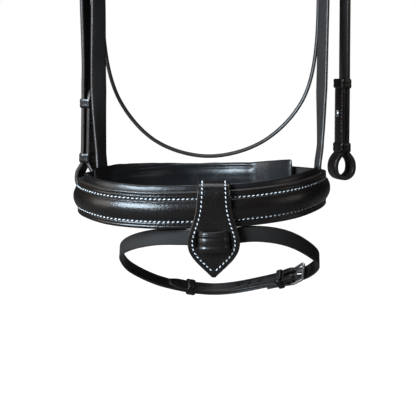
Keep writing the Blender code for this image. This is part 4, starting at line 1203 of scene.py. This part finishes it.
# Browband: a raised front like the noseband's, with a padded back
browLook = {"width": 22.0, "thick": 2.6, "crease": 1.6, "crown": 0.1, "raised": 0.9, "raisedHalf": 6.2,
            "liningHalf": 12.0, "liningThick": 2.3, "liningDrop": 3.9, "stitchAt": 7.4}


def browband():
    start = -brow.zero + 0.5
    facing = 1.0 if brow(0.0, 1.0, 0.0).y > brow(0.0, 0.0, 0.0).y else -1.0
    edge = abs(brow.nearest(104.0, -50.0))
    thick = browLook["thick"]
    section = strapSection(browLook["width"] / 2, thick, browLook["crease"], browLook["crown"])
    rows = []
    for s in evenly(start, -start, 2.6):
        lift = smooth(min(1.0, max(0.0, (edge - abs(s)) / 25.0)))
        row = []
        for w, h, kind in section:
            swell = max(0.0, 1.0 - (w / browLook["raisedHalf"]) ** 2)
            rise = browLook["raised"] * lift * swell if kind == 0 else 0.0
            row.append(brow(s, -facing * (h + rise), w))
        rows.append(row)
    skinPiece("browband_leather", rows, strapFinishes, "browband", ("browband_strap",),
              kindsOf(section))
    stations = stepped(-edge, edge, 2.0)
    lines = [seam(brow, stations, -facing * (thick / 2 + 0.1), w, -facing)
             for w in (-browLook["stitchAt"], browLook["stitchAt"])]
    sewPiece("browband_stitches", lines, "browband")

    def lining(s, across, up, full):
        w = browLook["liningHalf"] * full * softPower(across, 0.62)
        return w, facing * browLook["liningDrop"] + browLook["liningThick"] * full * softPower(up)

    cushion("browband_padding", brow, stepped(-edge, edge, 2.4), lining, "browband",
            ("browband_lining",), 32)


browband()
print("browband made")


# Flash: the tab over the noseband's front, the strap woven through its slits, its loop and buckle
flashLook = {"slitHeight": -473.6, "slitAt": 11.1, "slitRadius": 2.1, "slitLength": 9.4, "proud": 13.0,
             "tabStep": 1.3, "tabCrown": 0.15, "tabDip": 0.02, "stitchIn": 4.0, "tabSewn": 3.6,
             "holes": (30.0, 40.0, 50.0), "keeperAt": 11.0, "keeper": 5.0, "runnerAt": 94.0, "runner": 8.0,
             "sleeveHalf": 8.2, "sleeveDrop": 2.0, "sleeveThick": 1.9, "ridges": (5.3, 1.9, -4.9)}


def flashTab():
    front = places["ringY"] - 80.0
    outline = [(9.8, -496.5, 9.0), (11.2, -489.0, 12.0), (17.5, -482.0, 12.5), (21.8, -474.0, 12.8),
               (22.2, -465.0, 13.0), (21.8, -450.0, 13.0), (21.5, -437.0, 13.0), (20.4, -431.8, 13.1),
               (16.5, -429.3, 13.2), (11.0, -429.2, 13.2), (5.0, -430.6, 13.2), (2.0, -434.3, 13.3),
               (0.9, -440.0, 13.6), (0.7, -449.0, 14.4), (1.0, -458.0, 16.6), (1.6, -466.0, 19.2),
               (2.4, -474.0, 21.0), (3.2, -482.0, 20.2), (4.0, -489.0, 16.4), (4.6, -495.5, 10.4),
               (5.0, -500.5, 5.2), (5.2, -504.0, 1.6)]
    run = easedRun([Vector((front + out - 6.9, z, half)) for out, z, half in outline],
                   lambda length: max(3, math.ceil(length / flashLook["tabStep"])))
    spots = [Vector((places["tabX"], y, z)) for y, z, half in run]
    rows = []
    edges = []
    for (y, z, half), spot, tangent in zip(run, spots, waysAlong(spots)):
        out = tangent.cross(Vector((1, 0, 0)))
        section = strapSection(half, sizes["tab"], min(1.3, half * 0.4), flashLook["tabCrown"],
                               flashLook["tabDip"])
        rows.append([spot + Vector((w, 0, 0)) + out * h for w, h, kind in section])
        edges.append((spot, out, half))
    piece = skinPiece("flash_tab_leather", rows, strapFinishes, "noseband", ("flash_tab",),
                      kindsOf(section))
    cuts = []
    for at in (-flashLook["slitAt"], flashLook["slitAt"]):
        offset = lambda s, h, w, at=at: Vector((places["tabX"] + (w + at), front - 4.5 + h, s))
        cuts.append((offset, flashLook["slitHeight"], 0.0, flashLook["slitRadius"],
                     flashLook["slitLength"], 8.0))
    carve(piece, cuts)
    stitchTab([edge for edge in edges if edge[1].y < -0.5 or edge[1].z > 0.5][2:])


# Two lines of stitches inside the tab's edges, meeting in its point
def stitchTab(edges):
    lines = []
    for side in (-1.0, 1.0):
        spots, outs = [], []
        for index, (spot, out, half) in enumerate(edges):
            before, after = edges[max(index - 1, 0)], edges[min(index + 1, len(edges) - 1)]
            slope = (after[2] - before[2]) / max((after[0] - before[0]).length, 1e-5)
            inset = flashLook["stitchIn"] * math.sqrt(1.0 + slope * slope)
            if half - inset > 0.4:
                above = out * (sizes["tab"] / 2 + 0.1)
                spots.append(spot + Vector((side * (half - inset), 0, 0)) + above)
                outs.append(out)
        lines.append((spots, outs))
    sewPiece("flash_tab_stitches", lines, "noseband", pitch=flashLook["tabSewn"])


def flashStrap():
    bar = flash.nearest(69.0, places["ringY"] + 15.0)
    bar += flash.total if bar < 0 else 0.0
    place = lambda s, h, w: flash(bar + s, -h, w)
    around, proud = flash.total, flashLook["proud"]
    thick, wide = sizes["flash"], sizes["flashWidth"]
    over, layer = overStrap(thick, thick), flatLayer(thick)
    front = around - bar + flash.nearest(places["tabX"], places["ringY"] - 77.5)
    path = foldedEnd(thick, 24.0)
    path += [(70.0, layer), (130.0, layer), (170.0, 0.0)]
    weave = [(20.0, 0.2), (14.6, -1.4), (11.2, 6.4 - proud), (8.6, 1.6 - proud), (5.6, -proud)]
    path += [(front - s, h) for s, h in weave] + [(front + s, h) for s, h in reversed(weave)]
    path += [(around - 60.0, 0.0), (around - 35.0, underFront(thick))]
    path += [(around + s, h) for s, h in billetOver(thick, thick)]
    path += [(around + 60.0, over), (around + 115.0, over)]
    piece = strap("flash_leather", place, path, wide + 0.8, thick, "flash", ("flash_strap",),
                  pointed=True, crease=1.5)
    carve(piece, [tongueCut(place)])
    holes = [(place, hole, over, 1.0, 0.0, thick + 0.3) for hole in flashLook["holes"]]
    carve(piece, [billetCut(place)] + holes)
    closure("flash", place, wide, thick, thick, "flash", flashLook, ease=(0.5, 0.9))
    tabSleeve(place, front, weave)


# Ridged sleeve over the strap where it shows between the tab's slits; it follows the strap into them
def tabSleeve(place, front, weave):
    half, thick = flashLook["sleeveHalf"], flashLook["sleeveThick"]
    path = [(front - s, h) for s, h in weave[2:]] + [(front + s, h) for s, h in reversed(weave[2:])]
    run, rows = strapRun(place, path, step=0.6), []
    for spot, side, out, d in run:
        near = min(1.0, min(d - run[0][3], run[-1][3] - d) / 5.0)
        row = []
        for across, up in circlePoints(72):
            w = half * (0.84 + 0.16 * math.sqrt(near)) * softPower(across, 0.5)
            h = thick * (0.72 + 0.28 * near) * softPower(up, 0.6)
            if h < 0:
                h -= 0.75 * near * sum(hump(w - at, 0.8) for at in flashLook["ridges"])
            row.append(spot + side * (w - flashLook["sleeveDrop"] * near) + out * h)
        rows.append(row)
    skinPiece("flash_tab_sleeve", rows, strapFinishes, "flash", ("flash_loop",))


flashTab()
flashStrap()
print("flash made")


# Stage: pale floor far below, white backdrop, one large soft light from the upper left front, and
# weaker ones from the sides and above
stageLook = {"floorHeight": -0.80, "floorSize": 6.0, "floorShade": 0.85, "floorLight": 5.0,
             "white": 0.92, "dark": 0.05, "world": 0.03, "target": (0.0, -0.05, -0.42)}
lamps = {"keyLight": ((-0.93, -1.20, 0.20), 0.72, 53.0, (0.72, 0.87, 1.0)),  # place, size, power, colour
         "fillLight": ((1.6, -0.9, 0.1), 1.0, 2.6, (1.0, 0.93, 0.86)),
         "sideLight": ((-1.75, -0.45, 0.05), 1.1, 9.0, (1.0, 0.93, 0.86)),
         "topLight": ((-0.2, 0.25, 1.1), 1.1, 12.0, (0.88, 0.94, 1.0))}
shot = {"lens": 132.0, "distance": 1.30, "elevation": 6.5, "target": (0.0, -0.047, -0.455),
        "shift": (-(212.5 - 208.0) / 416.0, (205.0 - 208.0) / 416.0)}


def hangLamp(name, kind, power, aim):
    lamp = bpy.data.lights.new(name, kind)
    lamp.energy = power
    made = bpy.data.objects.new(name, lamp)
    made.rotation_mode = "QUATERNION"
    made.rotation_quaternion = aim.to_track_quat("-Z", "Y")
    bpy.context.scene.collection.objects.link(made)
    return lamp, made


def areaLight(name):
    spot, size, power, colour = lamps[name]
    lamp, made = hangLamp(name, "AREA", power, Vector(stageLook["target"]) - Vector(spot))
    lamp.shape = "SQUARE"
    lamp.size = size
    lamp.color = colour
    made.location = spot


# White to the eye, and a plain surface to every other ray
def paleStage(name, shade):
    finish = Finish(name)
    seen = finish.add("LightPath", {}, {}, "Is Camera Ray")
    through = finish.add("LightPath", {}, {}, "Is Transmission Ray")
    stops = [(0.0, (stageLook["dark"],) * 3), (1.0, (stageLook["white"],) * 3)]
    finish.wear(Base_Color=finish.ramp(seen, stops), Roughness=0.9, Specular_IOR_Level=0.0)
    white = finish.tree.nodes.new("ShaderNodeEmission")
    white.inputs["Strength"].default_value = 1.0
    mix = finish.tree.nodes.new("ShaderNodeMixShader")
    joinTo(finish.tree, (seen + through) * shade, mix.inputs[0])
    finish.tree.links.new(finish.shader.outputs[0], mix.inputs[1])
    finish.tree.links.new(white.outputs[0], mix.inputs[2])
    finish.tree.links.new(mix.outputs[0], finish.tree.nodes["Material Output"].inputs["Surface"])
    return finish.material


# A sun that lights only the floor, so that it stays white round the shadow
def floorLight(floor):
    lamp, made = hangLamp("floorLight", "SUN", stageLook["floorLight"], Vector((0.35, 0.25, -1.0)))
    lamp.angle = math.radians(30.0)
    lit = bpy.data.collections.new("floorOnly")
    lit.objects.link(floor)
    made.light_linking.receiver_collection = lit


def makeStage():
    bm = bmesh.new()
    bmesh.ops.create_grid(bm, x_segments=1, y_segments=1, size=stageLook["floorSize"])
    bmesh.ops.translate(bm, vec=(0.0, 0.0, stageLook["floorHeight"]), verts=bm.verts)
    floor = objectFrom("floor", bm)
    floor.data.materials.append(paleStage("paleFloor", stageLook["floorShade"]))
    floorLight(floor)
    for name in lamps:
        areaLight(name)
    world = bpy.data.worlds.new("studio")
    bpy.context.scene.world = world
    world.use_nodes = True
    tree = world.node_tree
    path = tree.nodes.new("ShaderNodeLightPath")
    seen = Flow(tree, path.outputs["Is Camera Ray"]) + Flow(tree, path.outputs["Is Transmission Ray"])
    strength = seen * (1.0 - stageLook["world"]) + stageLook["world"]
    joinTo(tree, strength, tree.nodes["Background"].inputs["Strength"])
    tree.nodes["Background"].inputs["Color"].default_value = (1.0, 1.0, 1.0, 1.0)


def makeCamera():
    data = bpy.data.cameras.new("camera")
    data.lens = shot["lens"]
    data.sensor_width = 36.0
    data.shift_x, data.shift_y = shot["shift"]
    camera = bpy.data.objects.new("camera", data)
    lift = math.radians(shot["elevation"])
    back = Vector((0.0, -math.cos(lift), math.sin(lift)))
    camera.location = Vector(shot["target"]) + back * shot["distance"]
    camera.rotation_mode = "QUATERNION"
    camera.rotation_quaternion = (-back).to_track_quat("-Z", "Y")
    bpy.context.scene.collection.objects.link(camera)
    bpy.context.scene.camera = camera
    bpy.context.scene.view_settings.view_transform = "Standard"


makeStage()
makeCamera()
print("stage lit")
